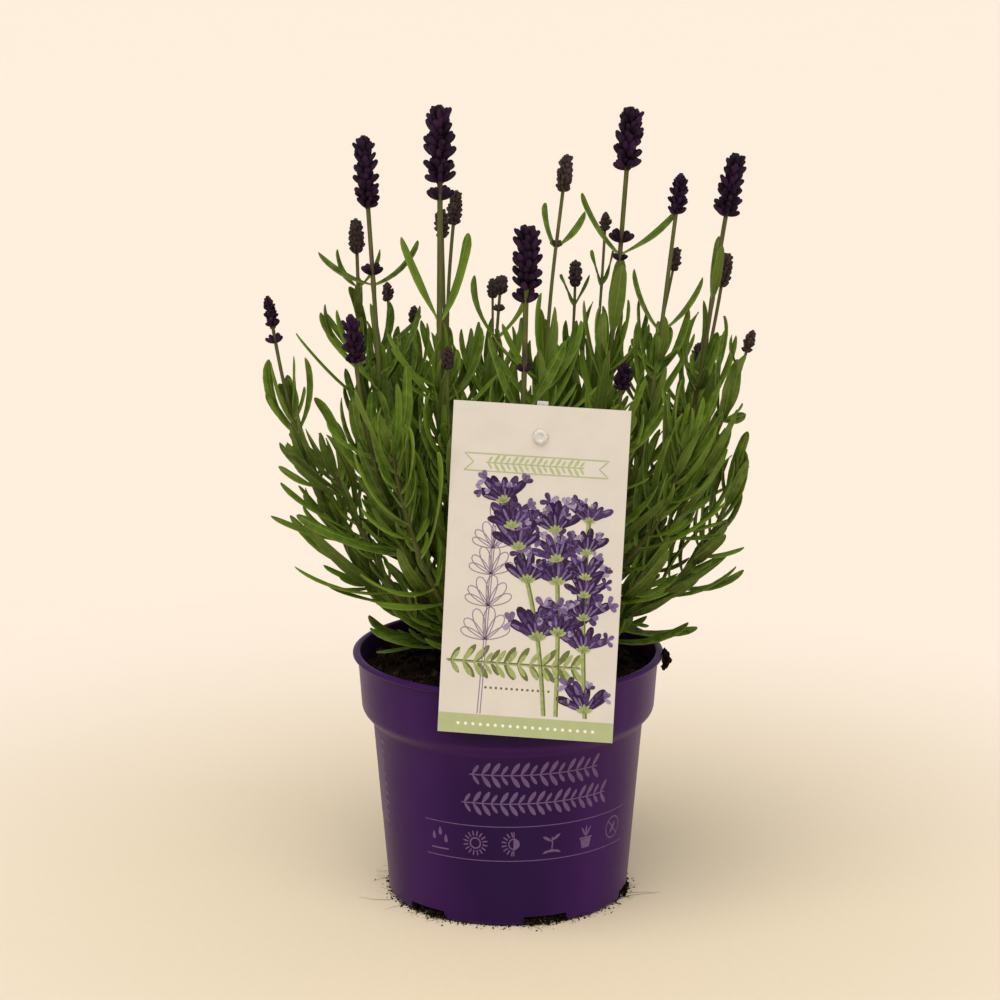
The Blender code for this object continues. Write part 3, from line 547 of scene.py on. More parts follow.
class Nodes:
    """Short forms for building one material's node tree."""

    def __init__(self, name):
        self.material = bpy.data.materials.new(name)
        self.material.use_nodes = True
        self.tree = self.material.node_tree
        self.shader = self.tree.nodes["Principled BSDF"]

    def new(self, kind, **inputs):
        node = self.tree.nodes.new(kind)
        for key, value in inputs.items():
            self.set(node.inputs[key.replace("_", " ")], value)
        return node

    def set(self, socket, value):
        if isinstance(value, bpy.types.NodeSocket):
            self.tree.links.new(value, socket)
        else:
            socket.default_value = value

    def marks(self):
        """The (across, along, tint) that a piece's points carry, as three sockets."""
        made = self.tree.nodes.new("ShaderNodeAttribute")
        made.attribute_name = "marks"
        split = self.new("ShaderNodeSeparateXYZ", Vector=made.outputs["Vector"])
        return split.outputs

    def place(self, scale=(1, 1, 1)):
        spot = self.tree.nodes.new("ShaderNodeTexCoord").outputs["Object"]
        return self.new("ShaderNodeMapping", Vector=spot, Scale=scale).outputs["Vector"]

    def noise(self, size, detail=3.0, rough=0.55, stretch=(1, 1, 1)):
        """Noise from 0 to 1 whose features are about this many millimetres across."""
        made = self.new("ShaderNodeTexNoise", Vector=self.place(stretch), Scale=1 / (size * MM),
                        Detail=detail, Roughness=rough)
        return made.outputs["Fac"]

    def math(self, operation, a, b=0.5, c=0.5):
        made = self.tree.nodes.new("ShaderNodeMath")
        made.operation = operation
        for socket, value in zip(made.inputs, (a, b, c)):
            self.set(socket, value)
        return made.outputs["Value"]

    def range(self, value, low, high, to_low=0.0, to_high=1.0):
        made = self.tree.nodes.new("ShaderNodeMapRange")
        made.interpolation_type = "SMOOTHSTEP"
        for key, given in (("Value", value), ("From Min", low), ("From Max", high),
                           ("To Min", to_low), ("To Max", to_high)):
            self.set(made.inputs[key], given)
        return made.outputs["Result"]

    def mix(self, share, first, second):
        made = self.tree.nodes.new("ShaderNodeMix")
        made.data_type = "RGBA"
        colour = [x for x in made.inputs if x.type == "RGBA"]
        self.set(made.inputs["Factor"], share)
        for socket, value in zip(colour, (first, second)):
            self.set(socket, value if isinstance(value, bpy.types.NodeSocket) else (*value, 1))
        return next(x for x in made.outputs if x.type == "RGBA")

    def wash(self, colour, over, share, value, low, high):
        """The colour with up to this share of another over it, as value goes from low to high."""
        return self.mix(self.math("MULTIPLY", self.range(value, low, high), share), colour, over)

    def bump(self, height, strength, distance):
        made = self.new("ShaderNodeBump", Height=height, Strength=strength, Distance=distance * MM)
        self.tree.links.new(made.outputs["Normal"], self.shader.inputs["Normal"])

    def finish(self, colour, roughness=0.5, **constants):
        plain = not isinstance(colour, bpy.types.NodeSocket)
        self.set(self.shader.inputs["Base Color"], (*colour, 1) if plain else colour)
        self.set(self.shader.inputs["Roughness"], roughness)
        for key, value in constants.items():
            self.shader.inputs[key.replace("_", " ")].default_value = value
        return self.material


def leaf_material(name, dark, middle, pale, rib_and_painted_backlight):
    """Dark to middle from leaf to leaf, mottled pale, with a paler rib and foot, and painted backlit margins.
    """
    n = Nodes(name)
    across, along, tint = n.marks()
    colour = n.mix(n.range(tint, 0.0, 1.0), dark, middle)
    colour = n.mix(n.range(n.noise(3.2), 0.35, 0.75, 0.0, 0.5), colour, pale)
    ageing = n.math("MULTIPLY", n.range(along, 0.86, 1.0), n.range(n.noise(9), 0.5, 0.68))
    colour = n.mix(n.math("MULTIPLY", ageing, 0.4), colour, (0.11, 0.085, 0.03))
    side = n.math("ABSOLUTE", across)
    colour = n.wash(colour, rib_and_painted_backlight, 0.42, side, 0.16, 0.0)
    # painted backlight: the thin margins take the rib colour as if light shone through them
    colour = n.wash(colour, rib_and_painted_backlight, 0.3, side, 0.78, 1.0)
    colour = n.wash(colour, rib_and_painted_backlight, 0.45, along, 0.16, 0.0)
    n.bump(n.math("ADD", n.noise(0.5, 2), n.math("MULTIPLY", n.noise(2.4), 0.8)), 0.35, 0.2)
    return n.finish(colour, n.range(n.noise(1.6), 0.3, 0.7, 0.4, 0.55), Specular_IOR_Level=0.12)


def stem_material():
    n = Nodes("stem")
    _, along, tint = n.marks()
    streak = n.noise(1.2, 4, 0.6, (1, 1, 0.12))
    green = n.mix(n.range(streak, 0.3, 0.7), (0.066, 0.076, 0.013), (0.125, 0.122, 0.030))
    wood = n.mix(n.range(streak, 0.3, 0.7), (0.035, 0.024, 0.012), (0.11, 0.078, 0.04))
    colour = n.mix(n.range(along, 0.10, 0.26), wood, green)
    colour = n.wash(colour, (0.085, 0.062, 0.03), 0.3, along, 0.75, 1.0)
    colour = n.wash(colour, (0.05, 0.06, 0.014), 0.3, tint, 0.3, 1.0)
    n.bump(streak, 0.4, 0.25)
    return n.finish(colour, 0.6, Specular_IOR_Level=0.2)


def calyx_material(name, foot, deep, bright, mouth):
    """Ribbed tubes that run from one colour at the foot to another at the mouth."""
    n = Nodes(name)
    across, along, tint = n.marks()
    fleck = n.noise(0.9, 4)
    body = n.mix(n.range(n.math("ADD", tint, n.math("MULTIPLY", fleck, 0.6)), 0.4, 1.4), deep, bright)
    colour = n.mix(n.range(along, 0.0, 0.34), foot, body)
    colour = n.wash(colour, mouth, 0.7, along, 0.8, 1.0)
    ribs = n.math("SINE", n.math("MULTIPLY", across, math.tau * 12))
    n.bump(n.math("ADD", n.math("MULTIPLY", ribs, 0.35), n.noise(0.35, 2)), 0.5, 0.2)
    return n.finish(colour, 0.6, Specular_IOR_Level=0.14)


def bark_material():
    n = Nodes("bark")
    ridges = n.noise(1.6, 5, 0.65, (1, 1, 0.3))
    colour = n.mix(n.range(ridges, 0.35, 0.68), (0.018, 0.012, 0.007), (0.13, 0.09, 0.05))
    n.bump(ridges, 0.8, 0.8)
    return n.finish(colour, 0.85)


def peat_material(name, dark, light):
    n = Nodes(name)
    grain = n.noise(0.8, 6, 0.7)
    patches = n.noise(6, 3)
    colour = n.mix(n.range(grain, 0.42, 0.78), dark, light)
    colour = n.mix(n.range(patches, 0.4, 0.65, 0.0, 0.5), colour, dark)
    n.bump(grain, 0.9, 0.7)
    return n.finish(colour, n.range(grain, 0.4, 0.7, 0.95, 0.7), Specular_IOR_Level=0.08)


def plastic_material():
    n = Nodes("violet_plastic")
    flow = n.noise(14, 2, 0.5, (1, 1, 0.35))
    # Painted light: the pot is darker where it faces the camera and lighter towards its outline.
    facing = n.new("ShaderNodeLayerWeight", Blend=0.5).outputs["Facing"]
    front = n.mix(n.range(flow, 0.3, 0.7), (0.0120, 0.0026, 0.033), (0.0142, 0.0034, 0.0375))
    side = n.mix(n.range(flow, 0.3, 0.7), (0.037, 0.0055, 0.074), (0.042, 0.0070, 0.082))
    colour = n.mix(n.range(facing, 0.0, 0.36), front, side)
    dust = n.math("MULTIPLY", n.range(n.noise(0.7, 5, 0.7), 0.62, 0.75), n.range(n.noise(17), 0.45, 0.75))
    colour = n.mix(n.math("MULTIPLY", dust, 0.05), colour, (0.22, 0.17, 0.15))
    # painted sheen: a pale wash where the surface turns away from the camera
    colour = n.wash(colour, (0.20, 0.11, 0.22), 0.3, facing, 0.5, 1.0)
    scuff = n.noise(1.4, 4, 0.65, (1, 1, 4))
    grain = n.math("MULTIPLY", n.noise(0.35, 2), 0.25)
    n.bump(n.math("ADD", grain, n.math("MULTIPLY", flow, 1.5)), 0.25, 0.15)
    return n.finish(colour, n.range(scuff, 0.35, 0.7, 0.36, 0.47), Specular_IOR_Level=0.10)


def paper_material(name, colour, shade):
    """Coated card: nearly flat, with the faint unevenness of its coating."""
    n = Nodes(name)
    mixed = n.mix(n.range(n.noise(11, 2), 0.3, 0.7), colour, shade)
    mixed = n.wash(mixed, shade, 0.12, n.noise(0.4, 3), 0.55, 0.8)
    n.bump(n.noise(0.3, 3), 0.12, 0.05)
    return n.finish(mixed, 0.5, Specular_IOR_Level=0.3)


def ink_material(name, colour, other, size):
    """Ink that runs between two tones, as halftone print does, with fine speckle."""
    n = Nodes(name)
    mixed = n.mix(n.range(n.noise(size, 3), 0.35, 0.65), colour, other)
    n.bump(n.noise(0.25, 2), 0.1, 0.03)
    return n.finish(mixed, 0.5, Specular_IOR_Level=0.15)


def clear_material():
    n = Nodes("clear_plastic")
    n.bump(n.noise(2.5, 2), 0.2, 0.2)
    roughness = n.range(n.noise(3), 0.3, 0.7, 0.15, 0.28)
    return n.finish((0.9, 0.88, 0.82), roughness, Transmission_Weight=0.45, IOR=1.46)


# The floor near the pot is darkened by a painted shade, which fades to its plain colour further out.
FLOOR_SHADED_NEAR, FLOOR_FAR = (0.77, 0.645, 0.463), (0.90, 0.78, 0.665)
FLOOR_SHADE_FADE = (0.08, 0.42)  # metres from the pot between which its painted shade fades and the floor grows paler


def floor_material():
    n = Nodes("pale_floor")
    weave = n.noise(3, 4)
    colour = n.mix(n.range(weave, 0.3, 0.7), FLOOR_SHADED_NEAR, tuple(1.02 * x for x in FLOOR_SHADED_NEAR))
    distance = n.new("ShaderNodeVectorMath", Vector=n.place())
    distance.operation = "LENGTH"
    # painted shade: darker near the pot, paler further away
    colour = n.mix(n.range(distance.outputs["Value"], *FLOOR_SHADE_FADE), colour, FLOOR_FAR)
    n.bump(n.noise(60, 2), 0.2, 3)
    return n.finish(colour, 0.75)


# ---------------------------------------------------------------- pieces


class Skin:
    """Points and faces gathered for one piece, with the finish of each face and the marks of each point."""

    def __init__(self):
        self.points, self.faces, self.finish, self.marks = [], [], [], []

    def tube(self, rings, marks=None, finish=0):
        """A closed skin through rings of equal count, with capped ends. finish is a slot, or one for each
        place round a ring."""
        base, count = len(self.points), len(rings[0])
        self.points += [p for ring in rings for p in ring]
        self.marks += marks or [(0, 0, 0)] * (count * len(rings))
        slots = finish if isinstance(finish, (list, tuple)) else [finish] * count
        for i in range(len(rings) - 1):
            low = base + i * count
            for j in range(count):
                k = (j + 1) % count
                self.faces.append((low + j, low + k, low + count + k, low + count + j))
                self.finish.append(slots[j])
        last = base + (len(rings) - 1) * count
        self.faces.append(tuple(base + j for j in reversed(range(count))))
        self.faces.append(tuple(last + j for j in range(count)))
        self.finish += [slots[0], slots[0]]

    def make(self, name, materials, smooth=35.0):
        """The piece's object. smooth is the angle in degrees above which an edge stays sharp, or 0."""
        mesh = bpy.data.meshes.new(name)
        mesh.from_pydata([tuple(p) for p in self.points], [], self.faces)
        mesh.polygons.foreach_set("material_index", self.finish)
        turn_outwards(mesh)
        made = mesh.attributes.new("marks", "FLOAT_VECTOR", "POINT")
        made.data.foreach_set("vector", np.array(self.marks, np.float32).ravel())
        for look in materials:
            mesh.materials.append(look)
        if smooth:
            shade(mesh, smooth)
        return link(name, mesh)


def turn_outwards(mesh):
    bm = bmesh.new()
    bm.from_mesh(mesh)
    bmesh.ops.recalc_face_normals(bm, faces=bm.faces)
    bm.to_mesh(mesh)
    bm.free()


def shade(mesh, smooth):
    mesh.shade_smooth()
    mesh.set_sharp_from_angle(angle=math.radians(smooth))


def link(name, data):
    made = bpy.data.objects.new(name, data)
    bpy.context.scene.collection.objects.link(made)
    return made


def mesh_of(bm, name):
    mesh = bpy.data.meshes.new(name)
    bm.to_mesh(mesh)
    bm.free()
    return mesh


def around_axis(radius, angle, height):
    """A point at an angle round the pot's axis from +X, in the units of its radius and height."""
    return Vector((radius * math.cos(angle), radius * math.sin(angle), height))


def outwards(turn):
    """The level direction at an angle round the pot from the front, towards +X."""
    return Vector((math.sin(turn), -math.cos(turn), 0))


def stand(piece, slot, *nodes):
    """The piece rides on the part's only body and stands for these CAD nodes. slot is not used."""
    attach(piece, "root")
    if nodes:
        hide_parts(*nodes)
    return piece


# ---------------------------------------------------------------- leaves and stems

# Across (share of the half-width) and height (share of the half-thickness) round a leaf: the upper side with
# its grooved midrib and rolled margins, then the lower side with its raised one.
LEAF_UPPER = ((-1, -0.6), (-0.86, 0.35), (-0.45, 0.9), (-0.1, 0.3), (0.1, 0.3), (0.45, 0.9), (0.86, 0.35),
              (1, -0.6))
LEAF_LOWER = ((0.7, -0.5), (0.2, -0.4), (0, -1.1), (-0.2, -0.4), (-0.7, -0.5))
LEAF_ROUND = LEAF_UPPER + LEAF_LOWER
LEAF_SLOTS = [0] * (len(LEAF_UPPER) - 1) + [1] * (len(LEAF_LOWER) + 1)
LEAF_RINGS = (0, 0.05, 0.12, 0.22, 0.36, 0.5, 0.64, 0.78, 0.88, 0.94, 0.98, 1)
LEAF_TIP_FROM = 0.82  # where the round tip starts
LEAF_WIDTHS = (0.82, 1.16)  # least and greatest width of a low leaf, as a share of its solid's
HIGH_LEAF_WIDTHS = (0.88, 1.22)  # the same for the leaves near the tops of the shoots, which are broader
HIGH_LEAVES_FROM = 150 * MM
LIGHT_FROM = Vector((-0.25, -0.8, 0.55)).normalized()  # leaves twist their upper sides towards it
LEAF_ARCH = 0.32  # how far the margins hang below the middle, as a share of the half-width
OVERHANG_BELOW, OVERHANG_BEYOND = 122 * MM, 56 * MM  # where a leaf's tip would hang over the rim


def add_leaf(skin, leaf, tint, wave=0.0, wider=1.0):
    """A leaf with a blade as wide as wider times its measure, and margins that ripple by wave, in mm."""
    rings, marks = [], []
    for share in LEAF_RINGS:
        point, right, up = leaf.frame(share)
        tip = max(0.0, (share - LEAF_TIP_FROM) / (1 - LEAF_TIP_FROM))
        widening = 0.66 * math.sin(min(share / 0.5, 1) * math.pi / 2)
        narrowing = 0.32 * (max(share - 0.45, 0) / 0.55) ** 1.4
        blade = 0.34 + widening - narrowing
        half = leaf.width * wider * blade / 2 * max(1 - tip * tip, 0.02) ** 0.55
        thick = LEAF_THICKNESS / 2 * (1 - 0.55 * tip)
        ring = []
        for x, z in LEAF_ROUND:
            ripple = wave * MM * x * math.sin(7 * share + 9 * tint)
            ring.append(point + right * (x * half) + up * (z * thick - LEAF_ARCH * half * x * x + ripple))
            marks.append((x, share, tint))
        rings.append(ring)
    skin.tube(rings, marks, LEAF_SLOTS)


def changed(leaf, **measures):
    """A copy of the leaf with some of its measures changed."""
    made = copy.copy(leaf)
    made.__dict__.update(measures)
    return made


def towards_light(leaf, twist):
    """The leaf with its blade twisted by up to this angle along its length, so that it faces the light."""
    facing = leaf.frame(1)[2]
    at_tip = leaf.opening + leaf.curl
    heading = leaf.way * math.cos(at_tip) + leaf.out * math.sin(at_tip)
    rolls = (leaf.roll + twist, leaf.roll, leaf.roll - twist)
    lit = [(Quaternion(heading, roll - leaf.roll) @ facing).dot(LIGHT_FROM) for roll in rolls]
    return changed(leaf, roll=rolls[lit.index(max(lit))])


def lifted(leaf):
    """The leaf, set more steeply where it would otherwise touch the pot's rim."""
    for _ in range(10):
        if all(clears_pot(leaf.frame(share)[0], leaf.width / 2) for share in (0.5, 0.65, 0.8, 0.9, 1)):
            break
        leaf = changed(leaf, opening=leaf.opening - 0.08, curl=leaf.curl - 0.06)
    return leaf


STEM_SIDES = 12
STEM_SLIMMER = 0.8  # a real stem is thinner than the solid that stands for it
STEM_RING_EVERY = 4 * MM
STEM_SQUARENESS = 3.2  # the power of its section's rounded square, where 2 would be a circle
NODE_HALF_HEIGHT = 1.6 * MM  # of the swelling where a pair of leaves leaves the stem


def add_stem(skin, stem, half_width, foot_extra, node_places, tint, sink=0.0):
    """A square stem, thicker at its foot, which starts this much below its centre line's foot."""
    count = max(int(stem.length / STEM_RING_EVERY), 4)
    rings, marks = [], []
    for i in range(count + 1):
        at = stem.length * i / count
        point, way, side, other = stem.frame(at)
        if i == 0:
            point = point - way * sink
        swell = sum(math.exp(-(((at - place) / NODE_HALF_HEIGHT) ** 2)) for place in node_places)
        size = (half_width + foot_extra * (1 - at / stem.length) ** 2) * (1 + 0.22 * min(swell, 1))
        ring = []
        for k in range(STEM_SIDES):
            angle = k * math.tau / STEM_SIDES
            c, s = math.cos(angle), math.sin(angle)
            squared = (abs(c) ** STEM_SQUARENESS + abs(s) ** STEM_SQUARENESS) ** (1 / STEM_SQUARENESS)
            reach = size * 1.12 / squared
            ring.append(point + (side * c + other * s) * reach)
            marks.append((k / STEM_SIDES, at / stem.length, tint))
        rings.append(ring)
    skin.tube(rings, marks, 2)


def more_leaves(row, stem, draw):
    """The leaves that only the looks have: a crossed pair between each two pairs, and a tuft of small
    leaves in each axil. They come as fine_leaf takes them."""
    wishes = []
    flowering = isinstance(row, Flower)
    last = stem.distance_at_height(row.leafy_to * MM) if flowering else stem.length - 2 * MM
    crowded = flowering or row.x ** 2 + row.y ** 2 < 55 ** 2
    ordinary = ORDINARY_PAIRS if flowering else row.pairs
    places = [pair_place(last, n / (ordinary - 1)) for n in range(ordinary)]
    between = [(a + b) / 2 for a, b in zip(places, places[1:])]
    for n, place in enumerate(between):
        share = n / len(between)
        for quarter in range(4):
            crossed = quarter % 2 != n % 2
            if crossed or crowded:
                size = draw.uniform(24, 40) if crossed else draw.uniform(11, 22)
                wishes.append((place, quarter, draw.uniform(-0.3, 0.3), size,
                               draw.uniform(3.2, 4.6) * (size / 34) ** 0.4,
                               draw.uniform(38, 70) - 18 * share))
    for n, place in enumerate(places):
        high = n / len(places) > 0.6
        for quarter in range(4):
            for _ in range((2 if high else 3) if crowded else 1):
                broad = draw.uniform(2.7, 4.6) if high else draw.uniform(1.9, 3.5)
                longest = 32 if high else 25 if crowded else 20
                wishes.append((place + draw.uniform(0.5, 7) * MM, quarter, draw.uniform(-0.75, 0.75),
                               draw.uniform(9, longest), broad, draw.uniform(14, 66)))
    if not flowering:
        for quarter in range(4):
            wishes.append((stem.length - 1.5 * MM, quarter, 0.2, draw.uniform(12, 20), 2.6,
                           draw.uniform(6, 18)))
    return wishes


def fine_leaf(stem, row, place, quarter, turn, length, width, opening, draw):
    """A small leaf at a place along the stem, in one of four directions, turned aside a little."""
    point, way, first, second = stem.frame(min(place, stem.length - 0.5 * MM))
    out = Quaternion(way, turn) @ quarters(first, second)[quarter]
    foot = point + out * (row.stem * 0.6 * MM)
    return Leaf(foot, way, out, length * MM, width * MM, math.radians(opening),
                math.radians(draw.uniform(-58, -4)), draw.uniform(-0.16, 0.16), draw.uniform(-0.7, 0.7))


def high_bract_leaves(row):
    """Pairs of leaves whose feet are on the spike's own stem, beside a whorl that stands apart. The CAD
    model leaves them out, since its spike is in their way."""
    leaves = []
    way = lean_of(row)
    for drop, length, width, _, opening in row.pairs:
        if drop - lowest_whorl(row) < 1.2:
            for hand in (-1, 1):
                out = Vector((hand, 0, 0))
                out = (out - way * out.dot(way)).normalized()
                foot = top_of(row) - way * (drop * MM) + out * (row.stem * 0.6 * MM)
                angle = math.radians(1.6 * opening - 12 + 6 * hand)
                leaves.append(Leaf(foot, way, out, length * MM, width * MM, angle, math.radians(-22), 0, 0))
    return leaves


def settled(leaf, bent):
    """The leaf with its foot in the stem, opened by an angle and curled back by twice as much. A leaf that
    would hang over the pot's rim is shorter and turns up instead."""
    tip = leaf.frame(1)[0]
    foot = leaf.foot - leaf.out * (0.5 * MM)
    if tip.z < OVERHANG_BELOW and math.hypot(tip.x, tip.y) > OVERHANG_BEYOND:
        return changed(leaf, foot=foot, length=leaf.length * 0.74, opening=leaf.opening - 0.08,
                       curl=leaf.curl - 0.5)
    return changed(leaf, foot=foot, opening=leaf.opening + bent, curl=leaf.curl - 2 * bent)


def free_leaf_form(leaf):
    """How far a leaf on a bare flower stem opens and how broad and how twisted it is, as in the photo."""
    bent = math.radians(17 if leaf.opening > math.radians(27) else 2)
    broad, sideways = leaf.width > 4.3 * MM, abs(leaf.out.x) > 0.5
    twist = 0.9 if broad else 0.6
    return bent, 1.2 if broad else 1.02, twist if sideways else 0


def shifted(tint, draw, low, high):
    return min(max(tint + draw.uniform(low, high), 0), 1)


def build_shoots(shoots, crowd, looks):
    draw = random.Random(SEED + 1)
    for name, row, stem, leaves in shoots:
        skin = Skin()
        base_tint = draw.uniform(0.15, 0.85)
        add_stem(skin, stem, row.stem * STEM_SLIMMER * MM, STEM_FOOT_EXTRA, sorted({d for d, _, _ in leaves}),
                 base_tint)
        for _, _, leaf in leaves:
            bent = math.radians(draw.uniform(6, 18))
            wider = draw.uniform(*(HIGH_LEAF_WIDTHS if leaf.foot.z > HIGH_LEAVES_FROM else LEAF_WIDTHS))
            twist = draw.uniform(0.4, 1.0)
            if isinstance(row, Flower) and leaf.foot.z > (row.leafy_to + 3) * MM:
                bent, wider, twist = free_leaf_form(leaf)
            leaf = lifted(towards_light(settled(leaf, bent), twist))
            add_leaf(skin, leaf, shifted(base_tint, draw, -0.3, 0.3), draw.uniform(0, 0.5), wider)
        if isinstance(row, Flower):
            for leaf in high_bract_leaves(row):
                add_leaf(skin, towards_light(leaf, 0.7), 0.6 * base_tint, 0.2, 1.25)
        for wish in more_leaves(row, stem, draw):
            leaf = fine_leaf(stem, row, *wish, draw)
            if in_outline(leaf) and not crowd.hit(name, *leaf_skin(leaf)):
                crowd.add(name, *leaf_skin(leaf))
                leaf = towards_light(leaf, draw.uniform(0.3, 0.9))
                add_leaf(skin, leaf, shifted(base_tint, draw, -0.2, 0.45), 0.1)
        piece = skin.make(name + "_looks", (looks["leaf_top"], looks["leaf_under"], looks["stem"]))
        stand(piece, "leaf_green", name)


# ---------------------------------------------------------------- flower spikes

# A calyx from foot to mouth: (share of its length, share of its half-width).
CALYX = ((0, 0.35), (0.12, 0.5), (0.3, 0.78), (0.52, 0.97), (0.72, 1.0), (0.87, 0.88), (0.96, 0.62),
         (1.0, 0.25))
CALYX_SIDES = 10
BRACT_RINGS = (0, 0.25, 0.5, 0.75, 0.92, 1)  # shares of a bract's length
CALYX_BEND = 0.35  # radians that a calyx turns upwards along its length
LARGE_HEAD_RADIUS = 3.5  # mm, above which a head is in full colour and not in bud


def add_calyx(skin, foot, way, up, length, half_width, tint):
    """One tubular calyx that sets out along way and bends towards up."""
    side = way.cross(up).normalized()
    rings, marks = [], []
    point = foot.copy()
    before = 0.0
    for share, width in CALYX:
        heading = Quaternion(side, CALYX_BEND * share) @ way
        point += heading * (length * (share - before))
        before = share
        other = side.cross(heading)
        ring = []
        for k in range(CALYX_SIDES):
            angle = k * math.tau / CALYX_SIDES
            reach = half_width * width * (1.04 if k % 2 else 0.95)
            ring.append(point + (side * math.cos(angle) + other * math.sin(angle)) * reach)
            marks.append((k / CALYX_SIDES, share, tint))
        rings.append(ring)
    skin.tube(rings, marks, 0)


def add_bract(skin, foot, way, out, length, width, tint):
    """A dry scale that stands out from the axis under a whorl."""
    leaf = Leaf(foot, way, out, length, width, math.radians(60), math.radians(-40), 0, 0)
    rings, marks = [], []
    for share in BRACT_RINGS:
        point, right, up = leaf.frame(share)
        half = width / 2 * (math.sin(math.pi * (0.2 + 0.78 * share)) ** 0.8)
        ring = []
        for x, z in ((-1, 0), (0, 0.15), (1, 0), (0, -0.15)):
            ring.append(point + right * (x * half) + up * (z * MM - 0.3 * half * x * x))
            marks.append((x, share, tint))
        rings.append(ring)
    skin.tube(rings, marks, 1)


WHORL_COUNT = 8  # calyces in a whorl's lowest ring


def add_whorl(skin, spike, at, reach, openings, draw, tier_gap, room, bud=False):
    """Rings of calyces round the axis, one for each opening angle. Each stands higher than the last, and is
    shorter. None reaches more than room, in mm, above its foot."""
    for tier, open_angle in enumerate(openings):
        start = draw.uniform(0, math.tau)
        point, way, side, other = spike.frame(at + tier * tier_gap)
        around_count = WHORL_COUNT - tier
        for n in range(around_count):
            around = start + (n + draw.uniform(-0.18, 0.18)) * math.tau / around_count
            out = side * math.cos(around) + other * math.sin(around)
            opening = math.radians(open_angle + draw.uniform(-11, 11))
            heading = way * math.cos(opening) + out * math.sin(opening)
            aside = (0.3 if bud else 0.08) * reach * MM
            foot = point + out * aside + way * (draw.uniform(-0.45, 0.45) * MM)
            stretch = 0.82 if bud else (1 - 0.28 * tier) / max(math.sin(opening), 0.6)
            length = min(reach * stretch * draw.uniform(0.8, 1.06), room / math.cos(opening)) * MM
            width = 1.58 * reach / WHORL_COUNT * draw.uniform(0.82, 1.14) * MM
            add_calyx(skin, foot, heading, way, length, width, draw.random())


def add_pair_of_clusters(skin, point, way, side, reach, draw):
    """A young whorl that stands apart: two opposite clusters of four calyces each."""
    for out in (side, -side):
        for turn, opening in ((-0.75, 54), (0, 62), (0.75, 52), (0.1, 30)):
            aside = Quaternion(way, turn + draw.uniform(-0.15, 0.15)) @ out
            angle = math.radians(opening + draw.uniform(-6, 6))
            heading = way * math.cos(angle) + aside * math.sin(angle)
            length = reach * draw.uniform(0.85, 1.02) * MM
            foot = point + aside * (0.08 * reach * MM)
            add_calyx(skin, foot, heading, way, length, 0.2 * reach * MM, draw.random())


def spike_reach(row, share, large):
    """A head's half-width in mm at a share of its height: full low down, rounded off at the top."""
    if large:
        return row.radius * (0.94 + 0.06 * min(share / 0.2, 1)) * (1 - 0.15 * share ** 3)
    return 1.22 * row.radius * (0.84 + 0.16 * min(share / 0.3, 1)) * (1 - 0.2 * share ** 3)


CLOSE_DROP = 4.6  # mm below a head within which a whorl nearly touches it


# A head in full colour and one in bud: the finish of its calyces, the opening angles of a whorl's two rings,
# how many pitches its first whorl stands below its start and its last one below its end, the length of its
# tip, and the least half-width in mm of a young whorl below it.
Head = namedtuple("Head", "finish openings sunk spare tip least_young")
FULL_HEAD = Head("calyx", (68, 42), 0.15, 0.45, 3.6 * MM, 4.2)
BUD_HEAD = Head("bud", (52, 32), 0, 0.6, 2.4 * MM, 3.2)
BUD_PITCH = 2.1  # mm between a bud's whorls


def add_young_whorls(skin, spike, row, head, draw):
    """The whorls that stand apart below a head, each with two bracts. A close one hangs a little lower."""
    for n, drop in enumerate(row.drops):
        reach = (0.6 if n else 0.95) * max(row.radius, head.least_young)
        foot = lowest_whorl(row) - drop - 0.6 - (max(drop - 2.6, 0) if drop <= CLOSE_DROP else 0)
        point, way, side, _ = spike.frame(foot * MM)
        point = point + way * (min(foot, 0) * MM)
        add_pair_of_clusters(skin, point, way, side, reach, draw)
        for out in (side, -side):
            add_bract(skin, point + way * (0.9 * MM), way, out, reach * 0.8 * MM, 2.6 * MM, 0.4)


def add_tip(skin, spike, end, length, half_width, draw):
    """Six small calyces that close a head, alternately more and less upright."""
    point, way, side, other = spike.frame(end - length)
    for n in range(6):
        around = n * math.tau / 6 + 0.4
        out = side * math.cos(around) + other * math.sin(around)
        spread, share = (0.62, 0.95) if n % 2 else (0.3, 1.08)
        heading = (way + out * spread).normalized()
        add_calyx(skin, point, heading, way, length * share, half_width, draw.random())


def build_spike(name, row, looks, draw):
    """A flower head: its axis, the young whorls that stand apart below it, its whorls, and its tip."""
    spike = spike_stem(row)
    skin = Skin()
    large = row.radius > LARGE_HEAD_RADIUS or bool(row.drops and not row.pairs)
    head = FULL_HEAD if large else BUD_HEAD
    lowest = lowest_whorl(row)
    add_stem(skin, spike, row.stem * STEM_SLIMMER * MM, 0, (), 0.5, 0.9 * MM)
    add_young_whorls(skin, spike, row, head, draw)
    close = [drop for drop in row.drops if drop <= CLOSE_DROP]
    raised = 1.35 * (CLOSE_DROP - close[0]) if close else 0  # mm that the head starts above a close whorl
    whorls = row.whorls if large else max(round(row.length / BUD_PITCH), 3)
    pitch = (row.length - raised) / (whorls + head.spare)
    for n in range(whorls):
        share = n / max(whorls - 1, 1)
        reach = spike_reach(row, share, large)
        at = (lowest + raised + (n - head.sunk) * pitch) * MM
        room = lowest + row.length - at / MM - 0.3 * pitch
        openings = [angle * (1 - 0.25 * share) for angle in head.openings]
        add_whorl(skin, spike, at, reach, openings, draw, 0.22 * pitch * MM, room, not large)
        point, way, side, other = spike.frame(at - 0.2 * pitch * MM)
        for out in quarters(side, other):
            add_bract(skin, point, way, out, reach * 0.55 * MM, 2.2 * MM, draw.random())
    add_tip(skin, spike, (lowest + row.length) * MM, head.tip, row.radius * 0.17 * MM, draw)
    slot = "flower_violet" if row.radius > LARGE_HEAD_RADIUS else "bud_grey_violet"
    stand(skin.make(name + "_looks", (looks[head.finish], looks["bract"], looks["stem"]), 50), slot, name)


# ---------------------------------------------------------------- pot


